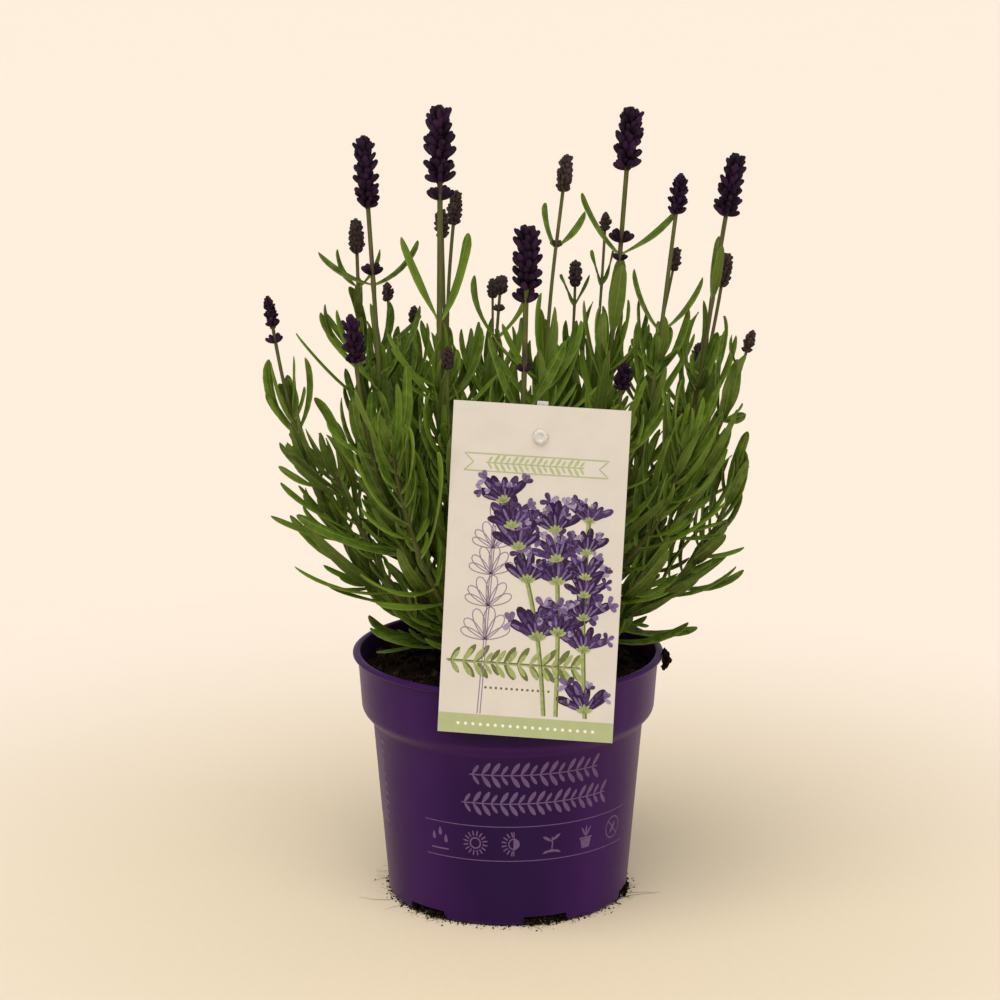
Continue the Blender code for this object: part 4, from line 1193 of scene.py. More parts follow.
def lathe(skin, profile, sides):
    """Turns (radius, height) in mm round the pot's axis. The profile starts and ends on the axis."""
    base = len(skin.points)
    inner = profile[1:-1]
    for radius, height in inner:
        for k in range(sides):
            angle = k * math.tau / sides
            skin.points.append(around_axis(radius, angle, height) * MM)
            skin.marks.append((k / sides, height / 100, 0))
    for end, ring, order in ((profile[0], 0, -1), (profile[-1], len(inner) - 1, 1)):
        skin.points.append(Vector((0, 0, end[1])) * MM)
        skin.marks.append((0, end[1] / 100, 0))
        tip = len(skin.points) - 1
        for k in range(sides):
            pair = (base + ring * sides + k, base + ring * sides + (k + 1) % sides)
            skin.faces.append((tip, *pair[::order]))
    for i in range(len(inner) - 1):
        for k in range(sides):
            low, after = base + i * sides, (k + 1) % sides
            skin.faces.append((low + k, low + after, low + sides + after, low + sides + k))
    skin.finish = [0] * len(skin.faces)


def arc(centre, radius, start=0, end=360, count=24):
    """Flat points of an arc, from a start to an end angle in degrees."""
    points = []
    for n in range(count + 1):
        angle = math.radians(start + (end - start) * n / count)
        points.append((centre[0] + radius * math.cos(angle), centre[1] + radius * math.sin(angle)))
    return points


POT_SIDES = 160
WALL = 1.0  # mm, as are the pot's other sizes here
BODY_FOOT, BODY_TOP = (46.6, 2.2), (52.2, 69.0)
COLLAR_FOOT, COLLAR_TOP = (56.6, 75.5), (58.0, 94.4)


def between(first, second, share):
    """The point at a share of the way from the first of two flat points to the second."""
    return first[0] + (second[0] - first[0]) * share, first[1] + (second[1] - first[1]) * share


def pot_outside():
    """The pot's outer profile in mm, from the foot's edge up to the lip."""
    points = [(43.9, 0), *arc((44.3, 2.3), 2.3, -80, -8, 6), BODY_FOOT]
    points += [between(BODY_FOOT, BODY_TOP, share) for share in (0.25, 0.5, 0.75, 1)]
    points += [(52.75, 70.1), (53.7, 71.2), (54.9, 72.3), (55.8, 73.4), (56.3, 74.4), COLLAR_FOOT]
    points += [(57.0, 81), (57.5, 88), COLLAR_TOP, (58.2, 95.0)]
    lip = [*arc((59.3, 95.85), 0.7, -60, 60, 5), *arc((58.2, 96.0), 1.0, 70, 120, 3)]
    return points + [(59.2, 95.15), *lip]


def pot_inside():
    """The pot's inner profile in mm, from the lip down to the floor's edge."""
    points = [(57.2, 96.6), (56.9, 95.6), (COLLAR_TOP[0] - WALL, COLLAR_TOP[1])]
    points += [(COLLAR_FOOT[0] - WALL, COLLAR_FOOT[1]), (55.2, 74.6), (54.0, 73.2), (52.6, 71.9)]
    points += [(51.7, 70.8), (BODY_TOP[0] - WALL, BODY_TOP[1])]
    return points + [(BODY_FOOT[0] - WALL, BODY_FOOT[1] + 1), *arc((43.6, 3.2), 2.2, 0, -84, 5)]


def build_pot(looks):
    """The turned pot, with a notch cut through its foot at each drain hole."""
    skin = Skin()
    lathe(skin, [(0, 0), (30, 0), *pot_outside(), *pot_inside(), (30, WALL), (0, WALL)], POT_SIDES)
    pot = skin.make("pot_looks", (looks["plastic"],), 0)
    bm = bmesh.new()
    for angle in DRAIN_ANGLES:
        out = outwards(angle)
        axes = (out.cross(Vector((0, 0, 1))), out, Vector((0, 0, 1)))
        centre = out * (BASE_RADIUS + 2 * MM - DRAIN_DEPTH / 2)
        size = (DRAIN_WIDTH, DRAIN_DEPTH + 4 * MM, 2 * DRAIN_HEIGHT)
        bmesh.ops.create_cube(bm, size=1, matrix=box_matrix(centre, axes, size))
    upright = [e for e in bm.edges if abs((e.verts[0].co - e.verts[1].co).normalized().z) > 0.9]
    bmesh.ops.bevel(bm, geom=upright, offset=0.2 * MM, segments=2, affect="EDGES")
    tool = link("drain_cutter", mesh_of(bm, "drain_cutter"))
    cut = pot.modifiers.new("Drains", "BOOLEAN")
    cut.operation, cut.solver, cut.object = "DIFFERENCE", "EXACT", tool
    depsgraph = bpy.context.evaluated_depsgraph_get()
    cut_mesh = bpy.data.meshes.new_from_object(pot.evaluated_get(depsgraph))
    pot.modifiers.clear()
    pot.data = cut_mesh
    bpy.data.objects.remove(tool)
    shade(cut_mesh, 32)
    stand(pot, "violet_plastic", "pot")


# ---------------------------------------------------------------- printing


class Print:
    """Thin ink on a surface. place(x, y, lift) gives a point in space for millimetres on the surface."""

    LAYER = 0.025  # mm of lift for each layer

    def __init__(self, place):
        self.place, self.skin = place, Skin()

    def lifts(self, layer):
        """The two heights over the surface, in mm, between which a layer of ink lies."""
        return layer * self.LAYER + 0.01, (layer + 1) * self.LAYER + 0.01

    def slab(self, outline, finish, layer=0):
        """A filled outline that is star-shaped about its own middle."""
        x = sum(p[0] for p in outline) / len(outline)
        y = sum(p[1] for p in outline) / len(outline)
        skin, base, count = self.skin, len(self.skin.points), len(outline)
        for lift in self.lifts(layer):
            skin.points += [self.place(px, py, lift) for px, py in outline] + [self.place(x, y, lift)]
        skin.marks += [(0, 0, 0)] * (2 * count + 2)
        top = base + count + 1
        for j in range(count):
            k = (j + 1) % count
            skin.faces += [(top + j, top + k, top + count), (base + k, base + j, base + count),
                           (base + j, base + k, top + k, top + j)]
            skin.finish += [finish] * 3

    def line(self, points, width, finish, layer=0, step=1.5):
        """A line through points, drawn in short lengths so that it follows a curved surface."""
        path = []
        for (ax, ay), (bx, by) in zip(points, points[1:]):
            pieces = max(int(math.hypot(bx - ax, by - ay) / step), 1)
            path += [(ax + (bx - ax) * n / pieces, ay + (by - ay) * n / pieces) for n in range(pieces)]
        path.append(points[-1])
        low, high = self.lifts(layer)
        rings = []
        for n, (x, y) in enumerate(path):
            ax, ay = path[max(n - 1, 0)]
            bx, by = path[min(n + 1, len(path) - 1)]
            length = math.hypot(bx - ax, by - ay) or 1
            nx, ny = -(by - ay) / length * width / 2, (bx - ax) / length * width / 2
            rings.append([self.place(x + hand * nx, y + hand * ny, lift)
                          for hand, lift in ((1, low), (-1, low), (-1, high), (1, high))])
        self.skin.tube(rings, finish=finish)

    def disc(self, x, y, radius, finish, layer, sides):
        self.slab(arc((x, y), radius, count=sides)[:-1], finish, layer)

    def petal(self, x, y, angle, length, width, finish, layer=0, point=0.0):
        """A drop shape that starts at (x, y) and runs along angle, in degrees. point sharpens its tip."""
        self.slab(drop_outline(x, y, angle, length, width, point), finish, layer)

    def petal_line(self, x, y, angle, length, width, line_width, finish):
        outline = drop_outline(x, y, angle, length, width, 0)
        self.line([*outline, outline[0]], line_width, finish)


DROP_SIDES = 14


def drop_outline(x, y, angle, length, width, point):
    outline = []
    c, s = math.cos(math.radians(angle)), math.sin(math.radians(angle))
    for k in range(DROP_SIDES):
        a = k * math.tau / DROP_SIDES
        along = (1 - math.cos(a)) / 2
        across = math.sin(a) * (0.35 + 0.65 * along) * (1 - point * along ** 3)
        u, v = along * length, across * width / 2
        outline.append((x + u * c - v * s, y + u * s + v * c))
    return outline


def pot_place(x, y, lift):
    """A point on the pot's outside: x mm round it from the front, y mm above the foot."""
    radius, _ = between(BODY_FOOT, BODY_TOP, (y - BODY_FOOT[1]) / (BODY_TOP[1] - BODY_FOOT[1]))
    out = outwards(x / BODY_TOP[0])
    return (out * (radius + lift + 0.02) + Vector((0, 0, y))) * MM


def print_twig(ink, x0, x1, y, leaf, finish, layer=0):
    """A level twig with leaves in pairs, the place where a name would stand."""
    ink.line([(x0, y), (x1, y)], 0.5, finish, layer)
    count = int((x1 - x0) / (leaf * 0.62))
    for n in range(count):
        x = x0 + (x1 - x0) * (n + 0.3) / count
        size = leaf * (0.8 + 0.3 * math.sin(n * 2.1) ** 2)
        for side in (1, -1):
            ink.petal(x, y, side * 56, size, size * 0.46, finish, layer, 0.45)


def build_pot_print(looks):
    """Two twigs, a strip of six generic signs between two lines, and a striped panel at the left."""
    ink = Print(pot_place)
    print_twig(ink, -15, 37, 62.2, 5.9, 0)
    print_twig(ink, -18.5, 42, 50.6, 5.7, 0)
    left, right, low, high = -35.5, 57.0, 27.2, 41.2
    for height in (low, high):
        ink.line([(left, height), (right, height)], 0.35, 0)
    middle = (low + high) / 2
    pictures = (picture_drop, picture_sun, picture_half_sun, picture_seedling, picture_pot, picture_no_frost)
    for n, picture in enumerate(pictures):
        picture(ink, left + 6.6 + n * 15.6, middle)
    for n in range(19):
        y = 67 - n * 1.9
        ink.line([(-108, y), (-64 + 3.5 * math.sin(n * 1.7) ** 2, y)], 1.35, 0)
    stand(ink.skin.make("pot_print", (looks["pale_violet_ink"],), 0), "violet_plastic")


def picture_drop(ink, x, y):
    """Three drops of water over a line of soil."""
    for dx, dy in ((-2.6, 1.2), (0.4, 3.2), (2.9, 0.4)):
        ink.petal(x + dx, y + dy + 1.6, -90, 3.4, 2.1, 0)
    ink.line([(x - 4, y - 4), (x + 4, y - 4)], 0.6, 0)


def rays(ink, x, y, start, end, count):
    """A sun's rays between two angles in degrees."""
    for k in range(count):
        a = math.radians(start + (end - start) * (k + 0.5) / count)
        c, s = math.cos(a), math.sin(a)
        ink.line([(x + 3.0 * c, y + 3.0 * s), (x + 5.0 * c, y + 5.0 * s)], 0.55, 0)


def picture_sun(ink, x, y):
    ink.line(arc((x, y), 2.1), 0.6, 0)
    rays(ink, x, y, 0, 360, 16)


def picture_half_sun(ink, x, y):
    ink.slab(arc((x, y), 2.3, -90, 90, 14), 0, 0)
    ink.line(arc((x, y), 2.1, 90, 270, 14), 0.5, 0)
    rays(ink, x, y, 90, 270, 8)
    ink.line([(x, y - 5), (x, y + 5)], 0.4, 0)


def picture_seedling(ink, x, y):
    ink.line([(x, y - 3.4), (x + 0.2, y - 0.5), (x, y + 2)], 0.55, 0)
    ink.petal(x, y + 0.6, 35, 4.2, 1.9, 0, 0, 0.5)
    ink.petal(x, y + 0.2, 150, 4.4, 1.9, 0, 0, 0.5)
    ink.slab([(x - 4, y - 4.6), (x + 4, y - 4.6), (x + 3, y - 3.6), (x, y - 3), (x - 3, y - 3.6)], 0, 0)


def picture_pot(ink, x, y):
    ink.slab([(x - 1.9, y - 4.8), (x + 1.9, y - 4.8), (x + 2.6, y - 1.2), (x - 2.6, y - 1.2)], 0, 0)
    ink.line([(x - 3.1, y - 0.7), (x + 3.1, y - 0.7)], 0.7, 0)
    for angle in (60, 90, 120):
        ink.petal(x, y - 0.2, angle, 4.6, 1.3, 0, 0, 0.5)


def picture_no_frost(ink, x, y):
    """A leaf in a ring that is struck through."""
    ink.line(arc((x, y), 4.3), 0.5, 0)
    ink.petal(x - 1.6, y - 2.3, 55, 5.2, 2.2, 0, 0, 0.4)
    ink.line([(x - 3, y + 3), (x + 3, y - 3)], 0.5, 0)


# ---------------------------------------------------------------- label


CARD_BOW = 0.35  # mm by which the card's middle stands proud of its long edges
HOLE_SIDES = 36


def card_place(x, y, lift):
    """A point on the label's face: x mm to the right and y mm up from its middle."""
    right, up, front = card_axes()
    bow = CARD_BOW * (1 - (2 * x * MM / CARD_WIDTH) ** 2)
    face = card_middle() + front * (CARD_THICKNESS / 2)
    return face + (right * x + up * y + front * (lift + bow)) * MM


def build_card(looks):
    """A thin card with a punched hole, gently bowed across its width."""
    half_w, half_h = CARD_WIDTH / MM / 2, CARD_HEIGHT / MM / 2
    aside = (card_hole_centre() - card_middle()).dot(card_axes()[0])
    hole = Vector((aside / MM, half_h - CARD_HOLE_DROP / MM))
    radius = CARD_HOLE_RADIUS / MM
    xs, ys = np.linspace(-half_w, half_w, 17), np.linspace(-half_h, half_h, 25)
    edge = [(x, -half_h) for x in xs] + [(half_w, y) for y in ys[1:]]
    edge += [(x, half_h) for x in xs[-2::-1]] + [(-half_w, y) for y in ys[-2:0:-1]]
    ring = arc(hole, radius, count=HOLE_SIDES)[:-1]
    inside = [(x, y) for x in xs[1:-1] for y in ys[1:-1] if (Vector((x, y)) - hole).length > radius + 1.2]
    first = len(edge)
    fences = [(k, (k + 1) % first) for k in range(first)]
    fences += [(first + k, first + (k + 1) % HOLE_SIDES) for k in range(HOLE_SIDES)]
    flat, _, faces, *_ = delaunay_2d_cdt([Vector(p) for p in edge + ring + inside], fences, [], 0, 1e-5)
    middles = [sum((flat[k] for k in face), Vector((0, 0))) / 3 for face in faces]
    faces = [face for face, middle in zip(faces, middles) if (middle - hole).length > radius * 0.98]
    count = len(flat)
    points = [card_place(p.x, p.y, lift) for lift in (0, -CARD_THICKNESS / MM) for p in flat]
    sides = {(a, b) for face in faces for a, b in zip(face, face[1:] + face[:1])}
    walls = [(b, a, a + count, b + count) for a, b in sorted(sides) if (b, a) not in sides]
    backs = [tuple(k + count for k in reversed(face)) for face in faces]
    mesh = bpy.data.meshes.new("plant_label_looks")
    mesh.from_pydata([tuple(p) for p in points], [], [tuple(face) for face in faces] + backs + walls)
    mesh.materials.append(looks["card"])
    shade(mesh, 30)
    stand(link("plant_label_looks", mesh), "card", "plant_label")


# The label's inks, each with its two tones and how many millimetres across their patches are.
INKS = {
    "ink_deep": ((0.020, 0.0065, 0.032), (0.038, 0.014, 0.060), 0.9),
    "ink_violet": ((0.046, 0.020, 0.075), (0.080, 0.042, 0.125), 0.9),
    "ink_mid": ((0.125, 0.080, 0.185), (0.18, 0.125, 0.245), 0.9),
    "ink_pale": ((0.25, 0.19, 0.32), (0.34, 0.27, 0.38), 1.4),
    "ink_stalk": ((0.33, 0.37, 0.14), (0.26, 0.30, 0.10), 1.4),
    "ink_stalk_dark": ((0.14, 0.17, 0.045), (0.11, 0.13, 0.04), 1.4),
    "ink_outline": ((0.24, 0.18, 0.25), (0.28, 0.21, 0.28), 1.4),
    "ink_sage": ((0.40, 0.44, 0.22), (0.38, 0.42, 0.21), 5),
    "ink_white": ((0.8, 0.76, 0.66), (0.78, 0.74, 0.64), 1.4),
}
DEEP, VIOLET, MID, PALE, STALK, STALK_DARK, OUTLINE, SAGE, WHITE = range(len(INKS))


def print_floret(ink, x, y, angle, size, draw, layer):
    """One flower: a ribbed calyx, and the small open lobes at its mouth."""
    ink.petal(x, y, angle, size, size * 0.42, draw.choice((DEEP, DEEP, VIOLET)), layer)
    ink.petal(x, y, angle + 4, size * 0.86, size * 0.16, draw.choice((VIOLET, MID)), layer + 1)
    a = math.radians(angle)
    tx, ty = x + size * 0.9 * math.cos(a), y + size * 0.9 * math.sin(a)
    if draw.random() < 0.4:
        for turn in draw.sample((-70, -30, 10, 45, 80), 3):
            tone = draw.choice((VIOLET, MID, PALE))
            ink.petal(tx, ty, angle + turn, size * 0.34, size * 0.24, tone, layer + 2)


FLORETS = 6  # in each of a printed whorl's two rows


def print_whorl(ink, x, y, lean, spread, size, draw):
    """A fan of flowers, the longer ones behind, over five green scales."""
    lean += draw.uniform(-9, 9)
    for back in (1, 0):
        layer = 1 if back else 4
        for n in range(FLORETS):
            share = n / (FLORETS - 1)
            angle = 90 + lean + spread * (0.5 - share) * (1 if back else 0.86) + draw.uniform(-7, 7)
            length = size * (1.12 if back else 0.8) * draw.uniform(0.78, 1.12)
            print_floret(ink, x + (share - 0.5) * 1.6, y + back * 0.9, angle, length, draw, layer)
    for n in range(5):
        ink.petal(x, y - 0.6, 90 + lean + spread * (0.5 - n / 4), size * 0.34, size * 0.2, STALK, 7, 0.5)


SPRIG_STEPS = 12


def print_sprig(ink, foot, top, whorls, lean, size, draw):
    """A coloured lavender stem from foot to top with whorls at shares of its length."""
    bend = 0.06 * (top[1] - foot[1]) * lean
    path = []
    for k in range(SPRIG_STEPS + 1):
        x, y = between(foot, top, k / SPRIG_STEPS)
        path.append((x + bend * math.sin(math.pi * k / SPRIG_STEPS), y))
    ink.line(path, 1.7, STALK, 0)
    ink.line([(x + 0.5, y) for x, y in path], 0.5, STALK_DARK, 1)
    for share in whorls:
        k = int(share * SPRIG_STEPS)
        x, y = between(path[k], path[k + 1], share * SPRIG_STEPS - k)
        shrink = 1 - 0.25 * share
        print_whorl(ink, x, y, lean * 16 * share, draw.uniform(112, 132), size * shrink, draw)


def print_outlined_sprig(ink, foot, top, whorls, size):
    """A sprig drawn in thin lines."""
    for side in (-0.55, 0.55):
        ink.line([(foot[0] + side, foot[1]), (top[0] + side * 0.6, top[1])], 0.4, OUTLINE)
    for share in whorls:
        x, y = between(foot, top, share)
        for turn in (-62, -34, -8, 20, 48, 70):
            length = size * (1.1 - 0.3 * share) * (1 - abs(turn) / 300)
            ink.petal_line(x, y, 90 + turn, length, length * 0.46, 0.4, OUTLINE)
    ink.petal_line(top[0], top[1], 96, size * 0.7, size * 0.3, 0.4, OUTLINE)


def build_card_print(looks):
    """A green band at the foot, a ribbon at the top, and between them sprigs and a garland."""
    draw = random.Random(SEED + 5)
    ink = Print(card_place)
    bands, low, high = 26, -61.9, -54.6
    for n in range(bands):
        x0 = -32.4 + n * 64.8 / bands
        x1 = x0 + 64.8 / bands
        ink.slab([(x0, low), (x1, low), (x1, high), (x0, high)], SAGE)
    for n in range(19):
        ink.disc(-25 + n * 50 / 18, -58.3, 0.62, WHITE, 1, 10)
    left, right, low, high, notch = -27.5, 25.5, 36.6, 43.0, 3.4  # the ribbon, with notched ends
    middle = (low + high) / 2
    ink.line([(left, low), (right, low), (right - notch, middle), (right, high), (left, high),
              (left + notch, middle), (left, low)], 0.45, SAGE, 1)
    print_twig(ink, -19.5, 16.5, middle, 3.5, SAGE)
    print_outlined_sprig(ink, (-17.6, -54.2), (-15.0, 16), (0.40, 0.58, 0.75, 0.89), 13)
    print_twig(ink, -30.5, 19, -34.5, 7.4, STALK_DARK)
    print_twig(ink, -29.9, 19.6, -35.0, 6.2, STALK, 1)
    for n in range(13):
        ink.disc(-15.5 + n * 1.95, -44.2, 0.5, STALK_DARK, 0, 8)
    print_sprig(ink, (6.5, -53.5), (-13.8, 30), (0.345, 0.6, 0.745, 0.84, 0.95), 0.75, 12.3, draw)
    print_sprig(ink, (11, -53.5), (6.8, 22), (0.41, 0.665, 0.777, 0.92), 0.2, 12, draw)
    print_sprig(ink, (21.8, -53.5), (19.5, 26), (0.035, 0.32, 0.47, 0.578, 0.663, 0.78, 0.927), -0.3, 9.8,
                draw)
    stand(ink.skin.make("plant_label_print", [looks[name] for name in INKS], 0), "card")


def box_matrix(centre, axes, size):
    """What turns a cube of one metre into a box with these axes and this size."""
    return Matrix.Translation(centre) @ Matrix(axes).transposed().to_4x4() @ Matrix.Diagonal((*size, 1))


# The button on the stake's pin, as (radius, height over the card's middle plane) in mm.
BUTTON = ((1.55, -0.6), (1.55, 0.45), (2.4, 0.5), (2.75, 0.75), (2.8, 1.2), (2.55, 1.7), (2.0, 2.05),
          (1.6, 2.1), (1.2, 1.75), (0.5, 1.65))
BUTTON_SIDES = 32


def build_stake(looks):
    """The flat stake, and the button that holds the card."""
    foot, top, axes = stake_line()
    bm = bmesh.new()
    size = (STAKE_WIDTH, STAKE_THICKNESS, (top - foot).length)
    bmesh.ops.create_cube(bm, size=1, matrix=box_matrix((foot + top) / 2, axes, size))
    bmesh.ops.bevel(bm, geom=bm.edges[:], offset=0.35 * MM, segments=3, affect="EDGES", profile=0.5)
    mesh = mesh_of(bm, "label_stake_looks")
    mesh.materials.append(looks["clear"])
    shade(mesh, 40)
    stand(link("label_stake_looks", mesh), "clear_plastic", "label_stake")
    hole = card_hole_centre()
    skin = Skin()
    turn = Matrix(card_axes()).transposed()
    rings = [[turn @ (around_axis(radius, k * math.tau / BUTTON_SIDES, height) * MM) + hole
              for k in range(BUTTON_SIDES)]
             for radius, height in BUTTON]
    skin.tube(rings)
    stand(skin.make("label_stake_button", (looks["clear"],), 40), "clear_plastic")


# ---------------------------------------------------------------- soil and crown


SOIL_RAISED = 2.2  # mm that loose crumbs lie above the flat top of the solid soil
SOIL_SIDES = 120
# The soil's side inside the pot, as (radius, height) in mm, and the radius at which its top starts.
SOIL_SIDE = ((43, 1.4), (45.3, 3.6), (46.5, 12), (50.6, 66), (51.0, 70), (53.6, 73.4), (55.2, 76), (55.7, 84))
SOIL_TOP_RADIUS = 55.9


def soil_height(x, y):
    """The height of the soil in mm at (x, y) in mm: a low dome with lumps."""
    around = math.hypot(x, y)
    dome = SOIL_EDGE_HEIGHT / MM + 2.3 * max(0.0, 1 - (around / 55) ** 2)
    lumps = noise.fractal(Vector((x, y, 3.0)) / 9, 1.0, 2.0, 4) * 1.6
    fine = noise.noise(Vector((x, y, 9.0)) / 1.7) * 0.5
    return dome + lumps + fine + SOIL_RAISED


def build_soil(looks):
    """The peat, with a rough top."""
    skin = Skin()
    angles = [k * math.tau / SOIL_SIDES for k in range(SOIL_SIDES)]
    rings = [[around_axis(radius, angle, height) * MM for angle in angles] for radius, height in SOIL_SIDE]
    for radius in (*np.linspace(SOIL_TOP_RADIUS, 2, 44), 0.4):
        ring = []
        for angle in angles:
            x, y = radius * math.cos(angle), radius * math.sin(angle)
            ring.append(Vector((x, y, soil_height(x, y))) * MM)
        rings.append(ring)
    skin.tube(rings)
    stand(skin.make("soil_looks", (looks["peat"],), 60), "peat", "soil")


FLOOR_GAP = 0.08 * MM  # how close loose matter comes to what the pot stands on
FIBRE_STEPS = 8


def add_crumb(skin, centre, size, draw, finish):
    """An irregular lump: a low ball with its points pushed in and out."""
    rings = []
    turn = Quaternion([draw.uniform(-1, 1) for _ in range(4)]).normalized()
    stretch = Vector((draw.uniform(0.7, 1.3), draw.uniform(0.7, 1.3), draw.uniform(0.55, 0.9)))
    for level in (-0.85, -0.35, 0.35, 0.85):
        wide = math.sqrt(1 - level * level)
        ring = []
        for k in range(6):
            spot = around_axis(wide * draw.uniform(0.75, 1.15), k * math.tau / 6 + level,
                               level * draw.uniform(0.85, 1.15))
            point = centre + turn @ (spot * stretch * size)
            ring.append(Vector((point.x, point.y, max(point.z, FLOOR_GAP))))
        rings.append(ring)
    skin.tube(rings, finish=finish)


def add_fibre(skin, start, way, length, draw, thick=0.09):
    """A hair root or a peat fibre: a thin strand that wanders. length and thick are in mm."""
    rings, marks = [], []
    point = start.copy()
    heading = way.normalized()
    for n in range(FIBRE_STEPS + 1):
        side = heading.orthogonal().normalized()
        other = heading.cross(side)
        radius = thick * (1 - 0.08 * n) * MM
        rings.append([point + out * radius for out in quarters(side, other)])
        marks += [(0, n / FIBRE_STEPS, 0)] * 4
        wander = Vector((draw.uniform(-1, 1), draw.uniform(-1, 1), draw.uniform(-0.5, 0.5)))
        heading = (heading + wander * 0.35).normalized()
        point = point + heading * (length * MM / FIBRE_STEPS)
        point.z = max(point.z, 2 * FLOOR_GAP)
    skin.tube(rings, marks, 2)


def soil_spot(draw, reach, least):
    """A random (x, y) in mm on the soil, up to reach from the pot's axis."""
    around, away = draw.uniform(0, math.tau), reach * math.sqrt(draw.uniform(least, 1))
    return away * math.cos(around), away * math.sin(around)


def beside(out, distance, height):
    """A point at a distance from the pot's axis and a height, both in mm."""
    return out * distance * MM + Vector((0, 0, height)) * MM


# Hair roots that creep over the floor, as (angle round the pot from the front, length in mm).
CREEPING_ROOTS = ((1.25, 17), (1.35, 13), (-1.2, 16), (-1.05, 10), (0.2, 9), (2.6, 14), (-2.4, 12))
RIM_CLUMP_ANGLE = 1.47  # where a clump of peat hangs on the rim, as an angle from the front


def crumble_soil(skin, draw):
    """Loose crumbs and fibres on the soil."""
    for _ in range(900):
        x, y = soil_spot(draw, 55.2, 0.06)
        size = draw.uniform(0.35, 1.0) ** 2 * 2.0
        centre = Vector((x, y, soil_height(x, y) + 0.25 * size)) * MM
        add_crumb(skin, centre, size * MM, draw, 0 if draw.random() < 0.8 else 1)
    for _ in range(90):
        x, y = soil_spot(draw, 50, 0.1)
        start = Vector((x, y, soil_height(x, y) + 0.2)) * MM
        way = Vector((draw.uniform(-1, 1), draw.uniform(-1, 1), 0.15))
        add_fibre(skin, start, way, draw.uniform(4, 9), draw)


def crumble_foot(skin, draw):
    """Peat and hair roots at the drain holes, and round the foot dark crumbs: peat and painted contact
    shadow.
    """
    for angle in DRAIN_ANGLES:
        for _ in range(60):
            out = outwards(angle + draw.uniform(-0.19, 0.19))
            centre = beside(out, draw.uniform(42.5, 47.4), draw.uniform(0.5, 3.0))
            add_crumb(skin, centre, draw.uniform(0.4, 1.1) * MM, draw, 0)
        for _ in range(7):
            out = outwards(angle + draw.uniform(-0.18, 0.18))
            way = out + Vector((draw.uniform(-0.6, 0.6), draw.uniform(-0.6, 0.6), -0.1))
            add_fibre(skin, beside(out, 46, draw.uniform(0.4, 2)), way, draw.uniform(4, 9), draw, 0.07)
    # Partly peat and partly painted contact shadow: a dense ring of tiny dark crumbs round the foot.
    for _ in range(1500):
        out = outwards(draw.uniform(0, math.tau))
        centre = beside(out, 44.6 + draw.expovariate(0.75), draw.uniform(0.05, 0.35))
        add_crumb(skin, centre, draw.uniform(0.14, 0.42) * MM, draw, 0)
    for _ in range(70):
        out = outwards(draw.uniform(0, math.tau))
        way = out * 0.5 + Vector((draw.uniform(-1, 1), draw.uniform(-1, 1), 0.05))
        add_fibre(skin, beside(out, 45, 0.3), way, draw.uniform(2.5, 7), draw, 0.06)
    for turn, length in CREEPING_ROOTS:
        out = outwards(turn)
        add_fibre(skin, beside(out, 46, 0.4), out + Vector((0, 0.3, 0.02)), length, draw)


def crumble_rim(skin, draw):
    """A clump of peat that hangs over the rim at the right."""
    for _ in range(90):
        out = outwards(RIM_CLUMP_ANGLE + draw.uniform(-0.035, 0.035))
        drop = draw.uniform(0, 1)
        bulge = 60.2 + 2.4 * math.sin(math.pi * drop) * draw.uniform(0, 1)
        add_crumb(skin, beside(out, bulge, 97.6 - 7.2 * drop), draw.uniform(0.5, 1.2) * MM, draw, 0)


def build_crumbs(looks):
    draw = random.Random(SEED + 3)
    skin = Skin()
    crumble_soil(skin, draw)
    crumble_foot(skin, draw)
    crumble_rim(skin, draw)
    stand(skin.make("loose_peat", (looks["peat"], looks["peat_light"], looks["root"]), 40), "peat")


def build_crown(looks):
    """The woody knot that the shoots spring from, with ridges that run down into the soil."""
    skin = Skin()
    rings, marks = [], []
    sides, steps = 64, 25
    for n in range(steps + 1):
        polar = math.radians(150 - 144 * n / steps)
        ring = []
        for k in range(sides):
            around = k * math.tau / sides
            spot = around_axis(math.sin(polar), around, math.cos(polar))
            lumps = noise.fractal(spot * 3.1, 1.0, 2.0, 4) * 1.5 + math.sin(around * 7 + 3 * spot.z) * 0.5
            ring.append(CROWN_CENTRE + spot * (CROWN_RADIUS + (lumps - 0.5) * MM))
            marks.append((k / sides, n / steps, 0))
        rings.append(ring)
    skin.tube(rings, marks)
    stand(skin.make("root_crown_looks", (looks["bark"],), 60), "bark", "root_crown")


# ---------------------------------------------------------------- studio


CAMERA_PLACE = (-0.0031, -1.281, 0.474)
CAMERA_DOWN = 13.95  # degrees below level
CAMERA_LENS = 124.2
LIGHT_COLOUR = (1.0, 0.985, 0.96)
SKY_COLOUR, SKY_STRENGTH = (1.0, 0.985, 0.955, 1), 0.51
FLOOR_RADIUS, FLOOR_THICKNESS, FLOOR_SIDES = 8.0, 0.02, 64


def sun(name, towards, power, softness):
    """A distant light that comes from the direction towards, and is softness degrees across."""
    light = bpy.data.lights.new(name, "SUN")
    light.energy, light.angle, light.color = power, math.radians(softness), LIGHT_COLOUR
    made = link(name, light)
    made.rotation_mode = "QUATERNION"
    made.rotation_quaternion = Vector(towards).to_track_quat("Z", "Y")


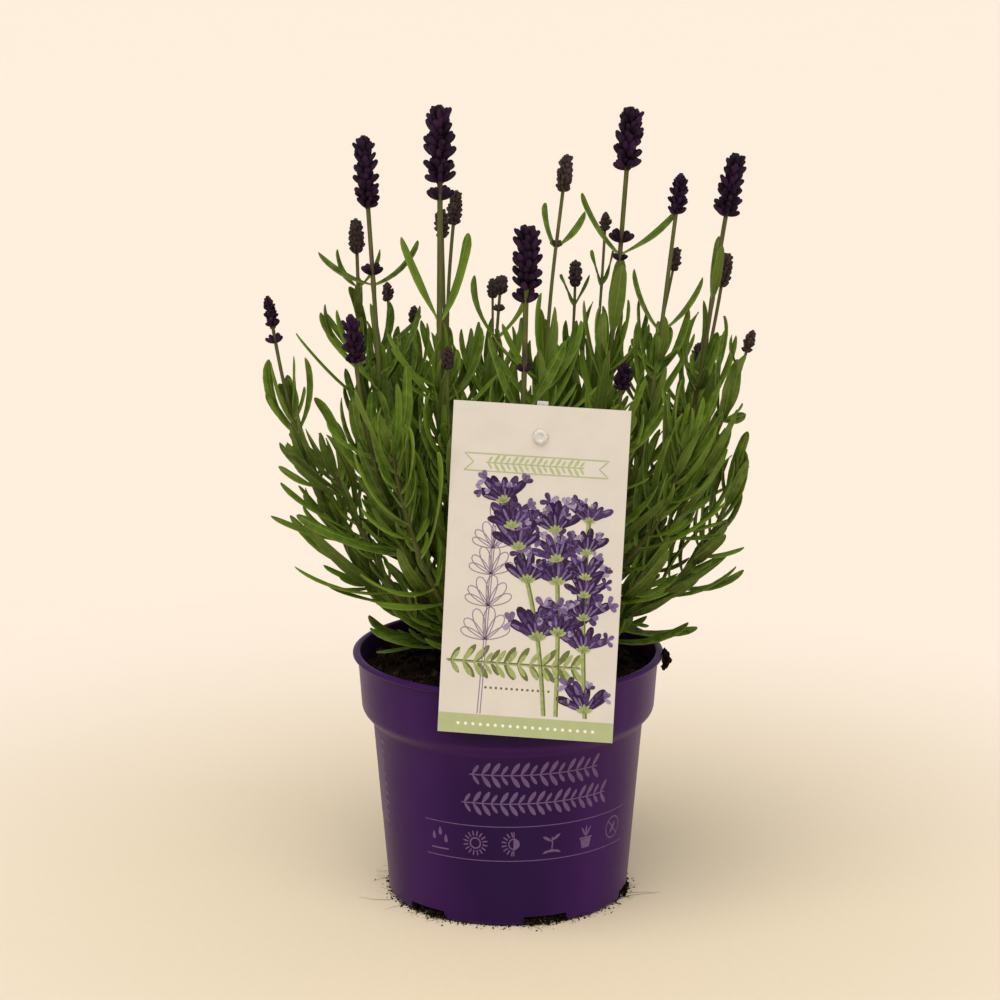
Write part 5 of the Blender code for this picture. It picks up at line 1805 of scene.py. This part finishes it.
def build_studio():
    skin = Skin()
    rings = [[around_axis(FLOOR_RADIUS, k * math.tau / FLOOR_SIDES, z) for k in range(FLOOR_SIDES)]
             for z in (-FLOOR_THICKNESS, 0)]
    skin.tube(rings)
    skin.make("floor", (floor_material(),), 30)
    world = bpy.data.worlds.new("studio")
    world.use_nodes = True
    sky = world.node_tree.nodes["Background"]
    sky.inputs["Color"].default_value, sky.inputs["Strength"].default_value = SKY_COLOUR, SKY_STRENGTH
    scene = bpy.context.scene
    scene.world = world
    scene.view_settings.view_transform = "Standard"
    sun("key", (-0.22, -0.5, 1.0), 1.9, 55)
    sun("fill", (0.55, -0.85, 0.6), 0.68, 70)
    lens = bpy.data.cameras.new("camera")
    lens.lens, lens.sensor_width = CAMERA_LENS, 36
    lens.clip_start, lens.clip_end = 0.05, 30
    camera = link("camera", lens)
    camera.location = CAMERA_PLACE
    camera.rotation_euler = (math.radians(90 - CAMERA_DOWN), 0, 0)
    scene.camera = camera


def make_looks():
    return {
        "leaf_top": leaf_material("leaf_top", (0.026, 0.056, 0.0015), (0.088, 0.158, 0.006),
                                  (0.165, 0.235, 0.024), (0.27, 0.33, 0.08)),
        "leaf_under": leaf_material("leaf_under", (0.060, 0.096, 0.011), (0.115, 0.170, 0.024),
                                    (0.170, 0.230, 0.040), (0.26, 0.32, 0.08)),
        "stem": stem_material(),
        "calyx": calyx_material("calyx", (0.040, 0.030, 0.020), (0.0085, 0.0016, 0.0080),
                                (0.040, 0.0105, 0.0420), (0.012, 0.003, 0.016)),
        "bud": calyx_material("bud", (0.085, 0.085, 0.03), (0.038, 0.024, 0.018), (0.078, 0.048, 0.042),
                              (0.026, 0.013, 0.024)),
        "bract": leaf_material("bract", (0.05, 0.035, 0.02), (0.09, 0.07, 0.035), (0.12, 0.09, 0.05),
                               (0.07, 0.05, 0.03)),
        "plastic": plastic_material(),
        "pale_violet_ink": ink_material("pale_violet_ink", (0.142, 0.082, 0.178), (0.12, 0.068, 0.155), 1.4),
        **{name: ink_material(name, *tones) for name, tones in INKS.items()},
        "peat": peat_material("peat", (0.007, 0.0030, 0.0007), (0.034, 0.0175, 0.0055)),
        "peat_light": peat_material("peat_light", (0.024, 0.013, 0.006), (0.10, 0.066, 0.038)),
        "root": peat_material("root", (0.035, 0.022, 0.012), (0.09, 0.06, 0.035)),
        "bark": bark_material(),
        "card": paper_material("card", (0.642, 0.587, 0.513), (0.614, 0.559, 0.489)),
        "clear": clear_material(),
    }


def main():
    build_studio()
    looks = make_looks()
    shoots, crowd = plan_shoots()
    build_shoots(shoots, crowd, looks)
    draw = random.Random(SEED + 2)
    for name, row, _, _ in shoots:
        if isinstance(row, Flower):
            build_spike(name.replace("flowering_shoot", "flower_spike"), row, looks, draw)
    build_pot(looks)
    build_pot_print(looks)
    build_soil(looks)
    build_crumbs(looks)
    build_crown(looks)
    build_card(looks)
    build_card_print(looks)
    build_stake(looks)


main()
